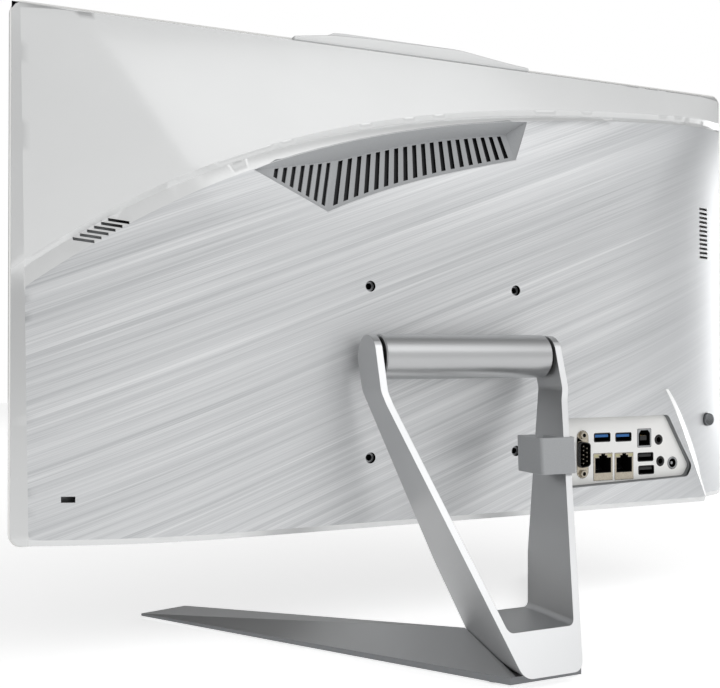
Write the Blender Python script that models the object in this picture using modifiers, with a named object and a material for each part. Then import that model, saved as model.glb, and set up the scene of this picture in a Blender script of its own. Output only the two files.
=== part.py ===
"""All-in-one PC with a tilting display on a loop-shaped stand.

Metres, +Z up. The screen faces -Y, the back +Y. The origin is on the desk, at the middle of the footprint.
Depths (y) in the functions below are counted from the flat middle of the display's back, which stands at
BACK_Y in the object's frame.
"""
import math

import bmesh
import bpy
from mathutils import Matrix, Vector

MM = 0.001
GAP = 0.3 * MM                  # clearance between pieces that touch

# ---- display, overall
BACK_Y = -3.5 * MM              # the back's flat middle in the object's frame
WIDTH = 494.0 * MM
BOTTOM_Z = 63.6 * MM
TOP_Z = 355.4 * MM
FRONT = -35.2 * MM              # front of the bezel
BEZEL_BACK = -31.2 * MM
BEZEL_LIP = 1.0 * MM            # the bezel stands this far outside the cover
GLASS_T = 1.1 * MM
CELL_T = 1.2 * MM
LAMP_T = 2.5 * MM               # backlight unit
SHEET_T = 1.0 * MM              # steel sheet behind the backlight
ACTIVE_W = 476.1 * MM           # the screen's picture area, 21.5 inch at 16:9
ACTIVE_H = 267.8 * MM
TOP_BORDER = 9.5 * MM

# ---- rear cover
WALL = 2.2 * MM
CORNER_R = 6.0 * MM
EDGE_IN_TOP = 4.0 * MM          # the sloping side wall: as wide as it is deep
EDGE_IN_BOTTOM = 8.5 * MM
FLAT_HALF = 130.0 * MM          # the back is flat this far each side of the middle
CROWN_Z = 230.0 * MM            # above this the back falls towards the top edge
CROWN_DROP = 22.0 * MM
GROOVE_DEPTH = 2.6 * MM
GROOVE_LIP = 3.4 * MM           # height of the groove's upper wall
BAND_SLIM = 6.3 * MM            # groove and smooth band together at the -X edge
BAND_GROWTH = 8.0 * MM          # and how much more at the +X edge
ARC_TOP_Z = 333.7 * MM          # the groove's height at the -X edge
ARC_FALLS = ((33.8 * MM, 1.42), (88.5 * MM, 3.55))  # how far it falls to the +X edge, and how late
STEP_DEPTH = 7.0 * MM           # the step beside the sockets, at the bottom edge
STEP_TOP_Z = 150.0 * MM
BOTTOM_BEVEL = 3.0 * MM

# ---- vents
SLOT_W = 2.4 * MM
SLOT_PITCH = 6.0 * MM
SIDE_SLIT_COUNT = 8
EDGE_SLIT_COUNT = 12
EDGE_SLIT_PITCH = 3.1 * MM

# ---- hinge
PIVOT_Y = 20.0 * MM
PIVOT_Z = 165.0 * MM
BARREL_R = 12.0 * MM
PIN_R = 4.0 * MM
PIN_IN_LEG = 3.0 * MM
PIN_IN_BARREL = 16.0 * MM
WASHER_T = 2.3 * MM
WASHER_R = 11.0 * MM

# ---- stand
LEG_T = 5.0 * MM
LEG_TOP_HALF = 61.6 * MM        # outer faces of the legs at the hinge
LEG_FOOT_HALF = 17.6 * MM       # and where they meet the base
LEG_BEND_Z = 146.0 * MM
LEG_HEAD_R = 11.6 * MM
FRAME_FOOT_Z = 5.5 * MM
CROSSBAR_TOP_Z = 26.0 * MM
BASE_FRONT = -104.0 * MM
BASE_REAR = 104.0 * MM
BASE_TIP_HALF = 161.0 * MM
BASE_TIP_IN = 133.0 * MM
BASE_REAR_HALF = 21.5 * MM
BASE_UNDER = 1.5 * MM
BASE_PLATE_TOP = 5.2 * MM
RIDGE_REAR_Z = 19.5 * MM
RIDGE_FRONT_Z = 5.0 * MM
RIDGE_REAR_Y = 61.0 * MM
RIDGE_REAR_X = 22.0 * MM
TIP_TOP_Z = 3.0 * MM
FOOT_T = 1.2 * MM

# ---- interfaces
VESA = 100.0 * MM
VESA_Z = 156.0 * MM
VESA_PLATE_T = 2.0 * MM
PLATE_Y = -6.0 * MM             # face of the socket plate
PLATE_T = 1.5 * MM
BOARD_FACE = -19.4 * MM         # rear face of the motherboard
BOARD_T = 1.6 * MM
STANDOFF_R = 3.0 * MM

# ---- details of the cover
COLUMNS = 30
LOWER_ROWS = (0.06, 0.2, 0.35, 0.5, 0.65, 0.8, 0.92)
UPPER_ROWS = (0.3, 0.65, 1.0)
STEP_TOP_X = -167.0 * MM
STEP_LEAN = 42.0 * MM
STEP_WIDTH = 13.0 * MM
RECESS_TIP = (120.0 * MM, 268.8 * MM)       # the recess's corners on the back, as (x, z)
RECESS_LOW = (76.5 * MM, 248.3 * MM)
RECESS_FAR = (-53.0 * MM, 289.0 * MM)
RECESS_CORNER = (-65.0 * MM, 313.0 * MM)
RECESS_TOP_X = (90.0 * MM, 55.0 * MM, 20.0 * MM, -15.0 * MM, -45.0 * MM)
RECESS_DEEP_A = (71.0 * MM, 278.0 * MM, 13.0 * MM)  # ends of its deep line, as (x, z, depth)
RECESS_DEEP_B = (-50.0 * MM, 304.0 * MM, 19.0 * MM)
LEFT_SLOTS = 7
RIGHT_SLOTS = 19
FIRST_SLOT_X = 107.5 * MM
SLIT_W = 1.3 * MM
SIDE_SLIT_START = (223.0 * MM, 223.3 * MM)
SIDE_SLIT_END = (198.5 * MM, 238.2 * MM)
SIDE_SLIT_LONG = 10.0 * MM
EDGE_SLIT_X = -211.5 * MM
EDGE_SLIT_LONG = 10.5 * MM
EDGE_SLIT_LOW = 234.5 * MM
LOCK_AT = (218.4 * MM, 89.8 * MM)
LOCK_W = 7.0 * MM
LOCK_H = 3.2 * MM
VESA_HOLE_R = 3.2 * MM

# ---- camera
HUMP_BASE = 80.0 * MM
HUMP_TOP = 41.0 * MM
HUMP_RISE = 7.0 * MM             # above the bezel's top edge
HUMP_BACK = -24.0 * MM
CAMERA_RISE = 2.0 * MM

# ---- sockets, as (x, z)
SOCKET_X = (-88.0 * MM, -175.0 * MM, -195.8 * MM, -192.0 * MM)
SOCKET_Z = (80.8 * MM, 125.0 * MM, 88.0 * MM)
SERIAL_AT = (-105.0 * MM, 101.0 * MM)
USB3_AT = [(-120.8 * MM, 111.5 * MM), (-138.2 * MM, 111.2 * MM)]
USB2_AT = [(-156.6 * MM, 97.2 * MM), (-157.2 * MM, 88.5 * MM)]
LAN_AT = [(-121.4 * MM, 92.2 * MM), (-138.6 * MM, 91.9 * MM)]
LAN_W = 12.2 * MM
LAN_H = 9.4 * MM
LAN_LOW = -3.6 * MM
LAN_DEEP = 11.0 * MM
SQUARE_AT = (-155.6 * MM, 110.0 * MM)
HEADPHONE_AT = (-169.2 * MM, 108.4 * MM, 3.3 * MM)
MICROPHONE_AT = (-170.6 * MM, 93.8 * MM, 3.3 * MM)
POWER_AT = (-182.0 * MM, 92.2 * MM, 4.1 * MM)
BUTTON_AT = (-219.3 * MM, 120.2 * MM)
BUTTON_R = 4.4 * MM
BUTTON_OUT = 3.4 * MM
BUTTON_TRAVEL = 0.8 * MM

# ---- inside
BOARD_X = (-200.0 * MM, -16.0 * MM)
BOARD_Z = (76.0 * MM, 226.0 * MM)
STANDOFFS = [(-190 * MM, 170 * MM), (-26 * MM, 82 * MM), (-190 * MM, 220 * MM), (-26 * MM, 220 * MM)]
FIN_X = (-4.0 * MM, 74.0 * MM)
FIN_Y = (-27.0 * MM, -16.0 * MM)
FIN_Z = (238.0 * MM, 258.0 * MM)
BLOWER_AT = (35.0 * MM, 196.0 * MM)
BLOWER_R = 38.0 * MM
BLOWER_T = 15.0 * MM
BLADES = 11
BLADE_SWEEP = 0.35               # how far a blade leans back, in radians
IMPELLER_HUB_R = 12.0 * MM
DRIVE_BOX = (95.0 * MM, 195.0 * MM, 120.0 * MM, 190.0 * MM)
SPEAKER_LEFT = (140.0 * MM, 93.0 * MM)
SPEAKER_RIGHT = (-150.0 * MM, 243.0 * MM)
SPEAKER_W = 72.0 * MM
SPEAKER_H = 22.0 * MM
BRACKET_HALF = 50.0 * MM
BRACKET_SCREW_X = 36.0 * MM
BRACKET_SCREW_Z = 6.0 * MM
SCREW_R = 2.0 * MM
SCREW_REACH = 6.0 * MM

# ---- stand details
FRONT_POINTS = [(9.6 * MM, 158 * MM), (15 * MM, 142 * MM), (45 * MM, 53.5 * MM), (61 * MM, 19 * MM),
                (66 * MM, 5.5 * MM)]
REAR_POINTS = [(111 * MM, 5.5 * MM), (40.5 * MM, 139.3 * MM)]
BASE_SCREWS = [(9 * MM, 86 * MM), (-9 * MM, 86 * MM)]
STAND_PIECES = ("stand_frame", "base_plate", "base_screw_1", "base_screw_2", "base_foot_left",
                "base_foot_right", "base_foot_rear", "hinge_pin_left", "hinge_pin_right",
                "friction_washer_left", "friction_washer_right")
FOOT_FROM = (139 * MM, -90 * MM)
FOOT_TO = (84 * MM, -8 * MM)
FOOT_W = 8.0 * MM
CLIP_Z = 109.0 * MM
CLIP_H = 19.5 * MM
CLIP_WALL = 2.2 * MM
CLIP_DEEP = 20.0 * MM
CHANNEL_W = 9.0 * MM

HUMP_Z = TOP_Z + HUMP_RISE
CAMERA_Z = TOP_Z + CAMERA_RISE
HALF_W = WIDTH / 2 - BEZEL_LIP
COVER_LOW = BOTTOM_Z + BEZEL_LIP
COVER_TOP = TOP_Z - BEZEL_LIP
RIM = BEZEL_BACK + GAP

for old in list(bpy.data.objects):
    bpy.data.objects.remove(old, do_unlink=True)
parts = bpy.data.collections.new("all_in_one_pc")
cutters = bpy.data.collections.new("cutters")
bpy.context.scene.collection.children.link(parts)
bpy.context.scene.collection.children.link(cutters)


# ------------------------------------------------------------------ materials
def material(name, colour, roughness, metallic=0.0):
    mat = bpy.data.materials.new(name)
    mat.use_nodes = True
    bsdf = mat.node_tree.nodes["Principled BSDF"]
    bsdf.inputs["Base Color"].default_value = (*colour, 1.0)
    bsdf.inputs["Roughness"].default_value = roughness
    bsdf.inputs["Metallic"].default_value = metallic
    return mat


SILVER = ((0.60, 0.61, 0.62), 0.32, 0.9)
WHITE = ((0.80, 0.81, 0.82), 0.30, 0.0)
BLACK = ((0.02, 0.02, 0.022), 0.45, 0.0)
STEEL = ((0.45, 0.46, 0.47), 0.35, 1.0)
NICKEL = ((0.55, 0.53, 0.48), 0.30, 1.0)
COPPER = ((0.72, 0.36, 0.22), 0.30, 1.0)
BOARD = ((0.03, 0.07, 0.05), 0.50, 0.0)


# ------------------------------------------------------------------ shapes
def finish(obj, look, collection=parts, smooth=False):
    """Move an object to its collection and give it its finish."""
    for home in list(obj.users_collection):
        home.objects.unlink(obj)
    collection.objects.link(obj)
    if collection is cutters:
        obj.hide_render = True
        obj.display_type = "WIRE"
    else:
        obj.data.materials.append(material(obj.name, *look))
    if smooth:
        obj.data.shade_smooth()
        obj.data.set_sharp_from_angle(angle=math.radians(35))
    return obj


def mesh_object(name, bm):
    bmesh.ops.recalc_face_normals(bm, faces=bm.faces)
    mesh = bpy.data.meshes.new(name)
    bm.to_mesh(mesh)
    bm.free()
    obj = bpy.data.objects.new(name, mesh)
    bpy.context.scene.collection.objects.link(obj)
    return obj


def block(name, x, y, z, look=None, bevel=0.0):
    """A box between pairs of limits; y is counted from the back's flat middle."""
    bm = bmesh.new()
    bmesh.ops.create_cube(bm, size=1.0)
    size = Vector((x[1] - x[0], y[1] - y[0], z[1] - z[0]))
    bmesh.ops.scale(bm, vec=size, verts=bm.verts)
    obj = mesh_object(name, bm)
    obj.location = ((x[0] + x[1]) / 2, (y[0] + y[1]) / 2 + BACK_Y, (z[0] + z[1]) / 2)
    if bevel:
        mod = obj.modifiers.new("edges", "BEVEL")
        mod.width = bevel
        mod.segments = 2
    return finish(obj, look, parts if look else cutters)


def rod(name, centre, radius, length, axis, look=None, sides=24, tip=None):
    """A cylinder or cone centred on a point, its length along X, Y or Z."""
    bm = bmesh.new()
    far = radius if tip is None else tip
    bmesh.ops.create_cone(bm, cap_ends=True, segments=sides, radius1=radius, radius2=far, depth=length)
    turn = {"X": Matrix.Rotation(math.pi / 2, 4, "Y"), "Y": Matrix.Rotation(-math.pi / 2, 4, "X"),
            "Z": Matrix.Identity(4)}[axis]
    bmesh.ops.transform(bm, matrix=turn, verts=bm.verts)
    obj = mesh_object(name, bm)
    obj.location = (centre[0], centre[1] + BACK_Y, centre[2])
    return finish(obj, look, parts if look else cutters, smooth=True)


def prism(name, outline, low, high, axis, look=None):
    """A flat outline extruded along X, Y or Z; its points are in the other two, in that order."""
    bm = bmesh.new()
    place = {"X": lambda a, b, t: (t, a + BACK_Y, b), "Y": lambda a, b, t: (a, t + BACK_Y, b),
             "Z": lambda a, b, t: (a, b + BACK_Y, t)}[axis]
    ends = [[bm.verts.new(place(a, b, t)) for a, b in outline] for t in (low, high)]
    for ring in ends:
        bm.faces.new(ring)
    count = len(outline)
    for i in range(count):
        j = (i + 1) % count
        bm.faces.new((ends[0][i], ends[0][j], ends[1][j], ends[1][i]))
    return finish(mesh_object(name, bm), look, parts if look else cutters)


def hull(name, points, look=None):
    bm = bmesh.new()
    for x, y, z in points:
        bm.verts.new((x, y + BACK_Y, z))
    made = bmesh.ops.convex_hull(bm, input=bm.verts)
    bmesh.ops.delete(bm, geom=[v for v in made["geom_interior"] if isinstance(v, bmesh.types.BMVert)],
                     context="VERTS")
    return finish(mesh_object(name, bm), look, parts if look else cutters)


def rounded(x0, x1, z0, z1, radius, steps=4):
    """Outline of a rectangle with round corners."""
    points = []
    for cx, cz, start in ((x1 - radius, z1 - radius, 0), (x0 + radius, z1 - radius, 90),
                          (x0 + radius, z0 + radius, 180), (x1 - radius, z0 + radius, 270)):
        for k in range(steps + 1):
            a = math.radians(start + 90 * k / steps)
            points.append((cx + radius * math.cos(a), cz + radius * math.sin(a)))
    return points


def round_corners(points, radii, steps=4):
    """Outline with each corner replaced by an arc of its radius."""
    out = []
    count = len(points)
    for i, (corner, radius) in enumerate(zip(points, radii)):
        c = Vector(corner)
        a = (Vector(points[i - 1]) - c).normalized()
        b = (Vector(points[(i + 1) % count]) - c).normalized()
        if radius <= 0:
            out.append(tuple(c))
            continue
        half = a.angle(b) / 2
        centre = c + (a + b).normalized() * radius / math.sin(half)
        start = c + a * radius / math.tan(half) - centre
        end = c + b * radius / math.tan(half) - centre
        sweep = start.angle_signed(end)
        for k in range(steps + 1):
            turn = -sweep * k / steps
            x = start.x * math.cos(turn) - start.y * math.sin(turn)
            z = start.x * math.sin(turn) + start.y * math.cos(turn)
            out.append((centre.x + x, centre.y + z))
    return out


def boolean(obj, tool, operation="DIFFERENCE"):
    mod = obj.modifiers.new(tool.name, "BOOLEAN")
    mod.operation = operation
    mod.object = tool
    mod.solver = "EXACT"
    if tool.users_collection[0] is parts:
        raise ValueError(tool.name + " is a part, not a cutter")
    return obj


def many(name, tools):
    """Join separate cutters that don't touch each other into one."""
    bm = bmesh.new()
    for tool in tools:
        start = len(bm.verts)
        bm.from_mesh(tool.data)
        bm.verts.ensure_lookup_table()
        bmesh.ops.transform(bm, matrix=tool.matrix_basis, verts=bm.verts[start:])
        bpy.data.objects.remove(tool, do_unlink=True)
    return finish(mesh_object(name, bm), None, cutters)


# ------------------------------------------------------------------ the back's surface
def across(x):
    """0 at the -X edge, 1 at the +X edge."""
    return (x + HALF_W) / (2 * HALF_W)


def arc_z(x):
    """Height of the groove's upper lip: highest at -X, falling ever faster towards +X."""
    return ARC_TOP_Z - sum(drop * across(x) ** power for drop, power in ARC_FALLS)


def band_z(x):
    """Height of the smooth band's lower edge."""
    return arc_z(x) - BAND_SLIM - BAND_GROWTH * across(x) ** 2


def step_at(z):
    """Where the step beside the sockets starts, and how wide and deep it is, at a height."""
    t = max(0.0, min(1.0, (STEP_TOP_Z - z) / (STEP_TOP_Z - BOTTOM_Z)))
    return STEP_TOP_X - STEP_LEAN * t ** 0.65, STEP_WIDTH * t ** 0.6, STEP_DEPTH * t


def edge_in(z):
    t = max(0.0, min(1.0, (z - BOTTOM_Z) / (TOP_Z - BOTTOM_Z)))
    return EDGE_IN_BOTTOM + (EDGE_IN_TOP - EDGE_IN_BOTTOM) * t


def surface(x, z):
    """Depth of the back at a point, without the groove."""
    reach = HALF_W - edge_in(z) - FLAT_HALF
    fall = -(BEZEL_BACK + edge_in(z))
    side = fall * max(0.0, (abs(x) - FLAT_HALF) / reach) ** 2
    start, wide, deep = step_at(z)
    if x < 0 and wide > 0:
        into = max(0.0, min(1.0, (start - x) / wide))
        kept = 1 - deep / STEP_DEPTH * (1 - into)
        side = max(side * kept, deep * into)
    crown = CROWN_DROP * max(0.0, (z - CROWN_Z) / (TOP_Z - CROWN_Z)) ** 2
    return -((side ** 6 + crown ** 6) ** (1 / 6))


def cover_solid(name, inset):
    """The cover's outer form, or its hollow where inset is given: a closed grid that follows the groove."""
    half = HALF_W - inset
    low = COVER_LOW + inset
    top = COVER_TOP - inset
    rim = RIM - (1.0 * MM if inset else 0.0)
    shares = [-1] + [-1 + 2 * k / COLUMNS for k in range(COLUMNS + 1)] + [1]
    bm = bmesh.new()
    columns = []
    for i, share in enumerate(shares):
        at_side = i in (0, len(shares) - 1)
        lip = arc_z(share * half)
        band = band_z(share * half)
        first = low + BOTTOM_BEVEL
        rows = [low, first + 0.5 * MM]
        rows += [first + f * (band - first) for f in LOWER_ROWS]
        rows += [band, lip - GROOVE_LIP, lip]
        rows += [lip + f * (top - EDGE_IN_TOP - lip) for f in UPPER_ROWS] + [top]
        column = []
        for j, z in enumerate(rows):
            x = share * (half if at_side else half - edge_in(z))
            if at_side or j in (0, len(rows) - 1):
                y = rim
            else:
                y = surface(x, z) - inset
                if rows[j + 1] == lip:
                    y -= GROOVE_DEPTH
                if j == 1:
                    y -= BOTTOM_BEVEL
            column.append(bm.verts.new((x, y + BACK_Y, z)))
        columns.append(column)
    wide = len(columns)
    tall = len(columns[0])
    for i in range(wide - 1):
        for j in range(tall - 1):
            bm.faces.new((columns[i][j], columns[i + 1][j], columns[i + 1][j + 1], columns[i][j + 1]))
    bmesh.ops.triangulate(bm, faces=list(bm.faces))
    rim_loop = ([columns[i][0] for i in range(wide)] + columns[-1][1:]
                + [columns[i][-1] for i in range(wide - 2, -1, -1)] + columns[0][-2:0:-1])
    bm.faces.new(rim_loop)
    return mesh_object(name, bm)


def slot_cutter(name, x0, z0, x1, z1, width, y):
    """A slot between two points of the back, cut along y between two depths."""
    along = Vector((x1 - x0, z1 - z0)).normalized()
    side = Vector((-along.y, along.x)) * width / 2
    a, b = Vector((x0, z0)), Vector((x1, z1))
    corners = [tuple(p) for p in (a + side, b + side, b - side, a - side)]
    return prism(name, corners, y[0], y[1], "Y")


def recess_floor(x):
    """The recess's lower edge, its deep line and its upper edge at a place across."""
    if x > RECESS_LOW[0]:
        t = (RECESS_TIP[0] - x) / (RECESS_TIP[0] - RECESS_LOW[0])
        low = RECESS_TIP[1] + (RECESS_LOW[1] - RECESS_TIP[1]) * t
        deep = RECESS_TIP[1] + (RECESS_DEEP_A[1] - RECESS_TIP[1]) * t
    else:
        t = (RECESS_LOW[0] - x) / (RECESS_LOW[0] - RECESS_FAR[0])
        low = RECESS_LOW[1] + (RECESS_FAR[1] - RECESS_LOW[1]) * t
        deep = RECESS_DEEP_A[1] + (RECESS_DEEP_B[1] - RECESS_DEEP_A[1]) * t
    return low, deep, band_z(x)


def recess_points(grow, shift, out):
    """Corners of the vent recess: the edge on the back, the deep line, and the mouth moved outwards."""
    edge = [RECESS_TIP, RECESS_LOW, RECESS_FAR, RECESS_CORNER]
    edge += [(x, band_z(x) - 0.6 * MM) for x in RECESS_TOP_X]
    middle = Vector((sum(p[0] for p in edge) / len(edge), sum(p[1] for p in edge) / len(edge)))
    points = []
    for x, z in edge:
        away = (Vector((x, z)) - middle).normalized() * grow
        px, pz = x + away.x, z + away.y
        points.append((px, surface(px, pz) + shift, pz))
        if out:
            points.append((px, surface(px, pz) + out, pz))
    for x, z, depth in (RECESS_DEEP_A, RECESS_DEEP_B):
        away = (Vector((x, z)) - middle).normalized() * grow
        points.append((x + away.x, -depth + shift, z + away.y))
    return points


def vent_cutters():
    """The slots in the recess's floor."""
    tools = []
    for k in range(LEFT_SLOTS + RIGHT_SLOTS):
        x = FIRST_SLOT_X - k * SLOT_PITCH
        low, deep, _ = recess_floor(x)
        if deep - low > 6 * MM:
            tools.append(slot_cutter("slot", x, low + 2.2 * MM, x, deep - 1.2 * MM, SLOT_W,
                                     (-40 * MM, 12 * MM)))
    return many("vent_slots", tools)


def slit_cutters():
    """The slits in the band at +X and those by the -X edge."""
    tools = []
    for k in range(SIDE_SLIT_COUNT):
        t = k / (SIDE_SLIT_COUNT - 1)
        x = SIDE_SLIT_START[0] + (SIDE_SLIT_END[0] - SIDE_SLIT_START[0]) * t
        z = SIDE_SLIT_START[1] + (SIDE_SLIT_END[1] - SIDE_SLIT_START[1]) * t
        tools.append(slot_cutter("slit", x, z, x - SIDE_SLIT_LONG, z - 1.7 * MM, SLIT_W,
                                 (-30 * MM, 5 * MM)))
    for k in range(EDGE_SLIT_COUNT):
        z = EDGE_SLIT_LOW + k * EDGE_SLIT_PITCH
        tools.append(slot_cutter("slit", EDGE_SLIT_X, z, EDGE_SLIT_X - EDGE_SLIT_LONG, z, SLIT_W,
                                 (-30 * MM, 5 * MM)))
    return many("slits", tools)


def socket_outline(grow=0.0):
    """Outline of the socket plate, or larger all round."""
    g = grow
    points = [(SOCKET_X[0] + g, SOCKET_Z[0] - g), (SOCKET_X[0] + g, SOCKET_Z[1] + g),
              (SOCKET_X[1] - g * 0.7, SOCKET_Z[1] + g), (SOCKET_X[2] - g, SOCKET_Z[2]),
              (SOCKET_X[3] - g * 0.7, SOCKET_Z[0] - g)]
    return round_corners(points, [3 * MM + g, 3 * MM + g, 4 * MM + g, 4 * MM + g, 4 * MM + g])


def vesa_points():
    h = VESA / 2
    return [(sx * h, VESA_Z + sz * h) for sx in (1, -1) for sz in (1, -1)]


def bracket_points():
    return [(sx * BRACKET_SCREW_X, PIVOT_Z + sz * BRACKET_SCREW_Z) for sx in (1, -1) for sz in (1, -1)]


def holes(name, spots, radius, y, sides=16):
    """Cutter of round holes through the back at several spots."""
    tools = [rod("hole", (x, (y[0] + y[1]) / 2, z), radius, y[1] - y[0], "Y", sides=sides) for x,
             z in spots]
    return many(name, tools)


def rear_cover():
    cover = finish(cover_solid("rear_cover", 0.0), WHITE, parts)
    corners = prism("cover_outline", rounded(-HALF_W, HALF_W, COVER_LOW, COVER_TOP, CORNER_R),
                    RIM - 5 * MM, 10 * MM, "Y")
    boolean(cover, corners, "INTERSECT")
    boolean(cover, finish(cover_solid("cover_hollow", WALL), None, cutters))
    boolean(cover, hull("recess_tray", recess_points(WALL, -WALL, WALL / 2)), "UNION")
    boolean(cover, hull("recess_mouth", recess_points(0.0, 0.0, 15 * MM)))
    boolean(cover, vent_cutters())
    skirt = prism("socket_skirt", socket_outline(GAP + WALL), PLATE_Y - PLATE_T - 1 * MM, -1.2 * MM, "Y")
    boolean(cover, skirt, "UNION")
    boolean(cover, prism("socket_mouth", socket_outline(GAP), -40 * MM, 10 * MM, "Y"))
    boolean(cover, slit_cutters())
    boolean(cover, holes("vesa_holes", vesa_points(), VESA_HOLE_R, (-6 * MM, 4 * MM)))
    boolean(cover, holes("bracket_holes", bracket_points(), SCREW_R + GAP, (-6 * MM, 4 * MM), 12))
    boolean(cover, holes("button_hole", [BUTTON_AT], BUTTON_R + GAP, (-30 * MM, 4 * MM), 20))
    lock = block("lock_slot", (LOCK_AT[0] - LOCK_W / 2, LOCK_AT[0] + LOCK_W / 2), (-30 * MM, 4 * MM),
                 (LOCK_AT[1] - LOCK_H / 2, LOCK_AT[1] + LOCK_H / 2))
    boolean(cover, lock)
    return cover


# ------------------------------------------------------------------ screen
def screen():
    half, low, top = WIDTH / 2, BOTTOM_Z, TOP_Z
    glass_low, glass_top, glass_half = low + 1.6 * MM, top - 1.6 * MM, half - 1.6 * MM
    seat = FRONT + GLASS_T + 2 * GAP
    bezel = prism("front_bezel", rounded(-half, half, low, top, CORNER_R + BEZEL_LIP), FRONT, BEZEL_BACK,
                  "Y", WHITE)
    base = COVER_TOP + GAP
    ledge = HUMP_Z - 4 * MM
    hump = hull("camera_hump", [(sx * x, y, z) for sx in (1, -1) for x, y, z in
                                ((HUMP_BASE, FRONT, base), (HUMP_BASE, BEZEL_BACK, base),
                                 (HUMP_TOP, FRONT, HUMP_Z),
                                 (HUMP_TOP, BEZEL_BACK, HUMP_Z), (HUMP_TOP, HUMP_BACK, base),
                                 (HUMP_TOP, HUMP_BACK, ledge))])
    boolean(bezel, hump, "UNION")
    g = GAP
    boolean(bezel, prism("glass_seat", rounded(-glass_half - g, glass_half + g, glass_low - g,
                                               glass_top + g,
                                               CORNER_R - 0.6 * MM), FRONT - 1 * MM, seat, "Y"))
    boolean(bezel, block("screen_window", (-half + 4.5 * MM, half - 4.5 * MM), (FRONT - 1 * MM, 0),
                         (low + 4.5 * MM, top - 4.5 * MM)))
    boolean(bezel, block("camera_pocket", (-11 * MM, 11 * MM), (FRONT + 2.2 * MM, HUMP_BACK - 3 * MM),
                         (top, HUMP_Z - 2 * MM)))
    boolean(bezel, rod("camera_eye", (0, FRONT, CAMERA_Z), 2.6 * MM, 8 * MM, "Y", sides=20))
    prism("front_glass", rounded(-glass_half, glass_half, glass_low, glass_top, CORNER_R - 1 * MM),
          FRONT + 0.1 * MM, FRONT + 0.1 * MM + GLASS_T, "Y", BLACK)
    centre = top - TOP_BORDER - ACTIVE_H / 2
    rim_w, rim_h = ACTIVE_W / 2 + 1.2 * MM, ACTIVE_H / 2 + 2.4 * MM
    front = FRONT + 0.1 * MM + GLASS_T + GAP
    block("lcd_cell", (-rim_w, rim_w), (front, front + CELL_T), (centre - rim_h, centre + rim_h), BLACK)
    front += CELL_T + GAP
    block("backlight_unit", (2.5 * MM - rim_w, rim_w - 2.5 * MM), (front, front + LAMP_T),
          (centre - rim_h, centre + rim_h), STEEL)
    front += LAMP_T + GAP
    sheet = block("panel_chassis", (-225 * MM, 225 * MM), (front, front + SHEET_T), (80 * MM, 338 * MM),
                  STEEL)
    for k, (x, z) in enumerate(STANDOFFS):
        top_of = BOARD_FACE - BOARD_T - GAP
        post = rod("post_%d" % k, (x, (front + 0.4 * MM + top_of) / 2, z), STANDOFF_R,
                   top_of - front - 0.4 * MM, "Y", sides=12)
        boolean(sheet, post, "UNION")
    return front + SHEET_T


def camera():
    front = FRONT + 2.2 * MM + GAP
    block("camera_module", (-10 * MM, 10 * MM), (front, front + 3.2 * MM),
          (TOP_Z + GAP, HUMP_Z - 2.3 * MM), BLACK)
    rod("camera_lens", (0, FRONT + 1.3 * MM, CAMERA_Z), 2.2 * MM, 1.8 * MM, "Y", BLACK, 20)


# ------------------------------------------------------------------ inside
def boards():
    back = BOARD_FACE
    block("motherboard", BOARD_X, (back - BOARD_T, back), BOARD_Z, BOARD)
    x0 = -78 * MM
    for k in range(2):
        z = 205 * MM - k * 9 * MM
        block("memory_module_%d" % (k + 1), (x0 - 69.6 * MM, x0), (back + GAP, back + 4.2 * MM),
              (z, z + 6.5 * MM), BOARD)
    block("m2_ssd", (-150 * MM, -70 * MM), (back + GAP, back + 3.4 * MM), (133 * MM, 155 * MM), BOARD)
    block("wifi_card", (-188 * MM, -158 * MM), (back + GAP, back + 3.0 * MM), (135 * MM, 157 * MM), BOARD)
    rod("clock_battery", (-175 * MM, back + GAP + 1.6 * MM, 180 * MM), 10 * MM, 3.2 * MM, "Y", STEEL, 24)


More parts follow.
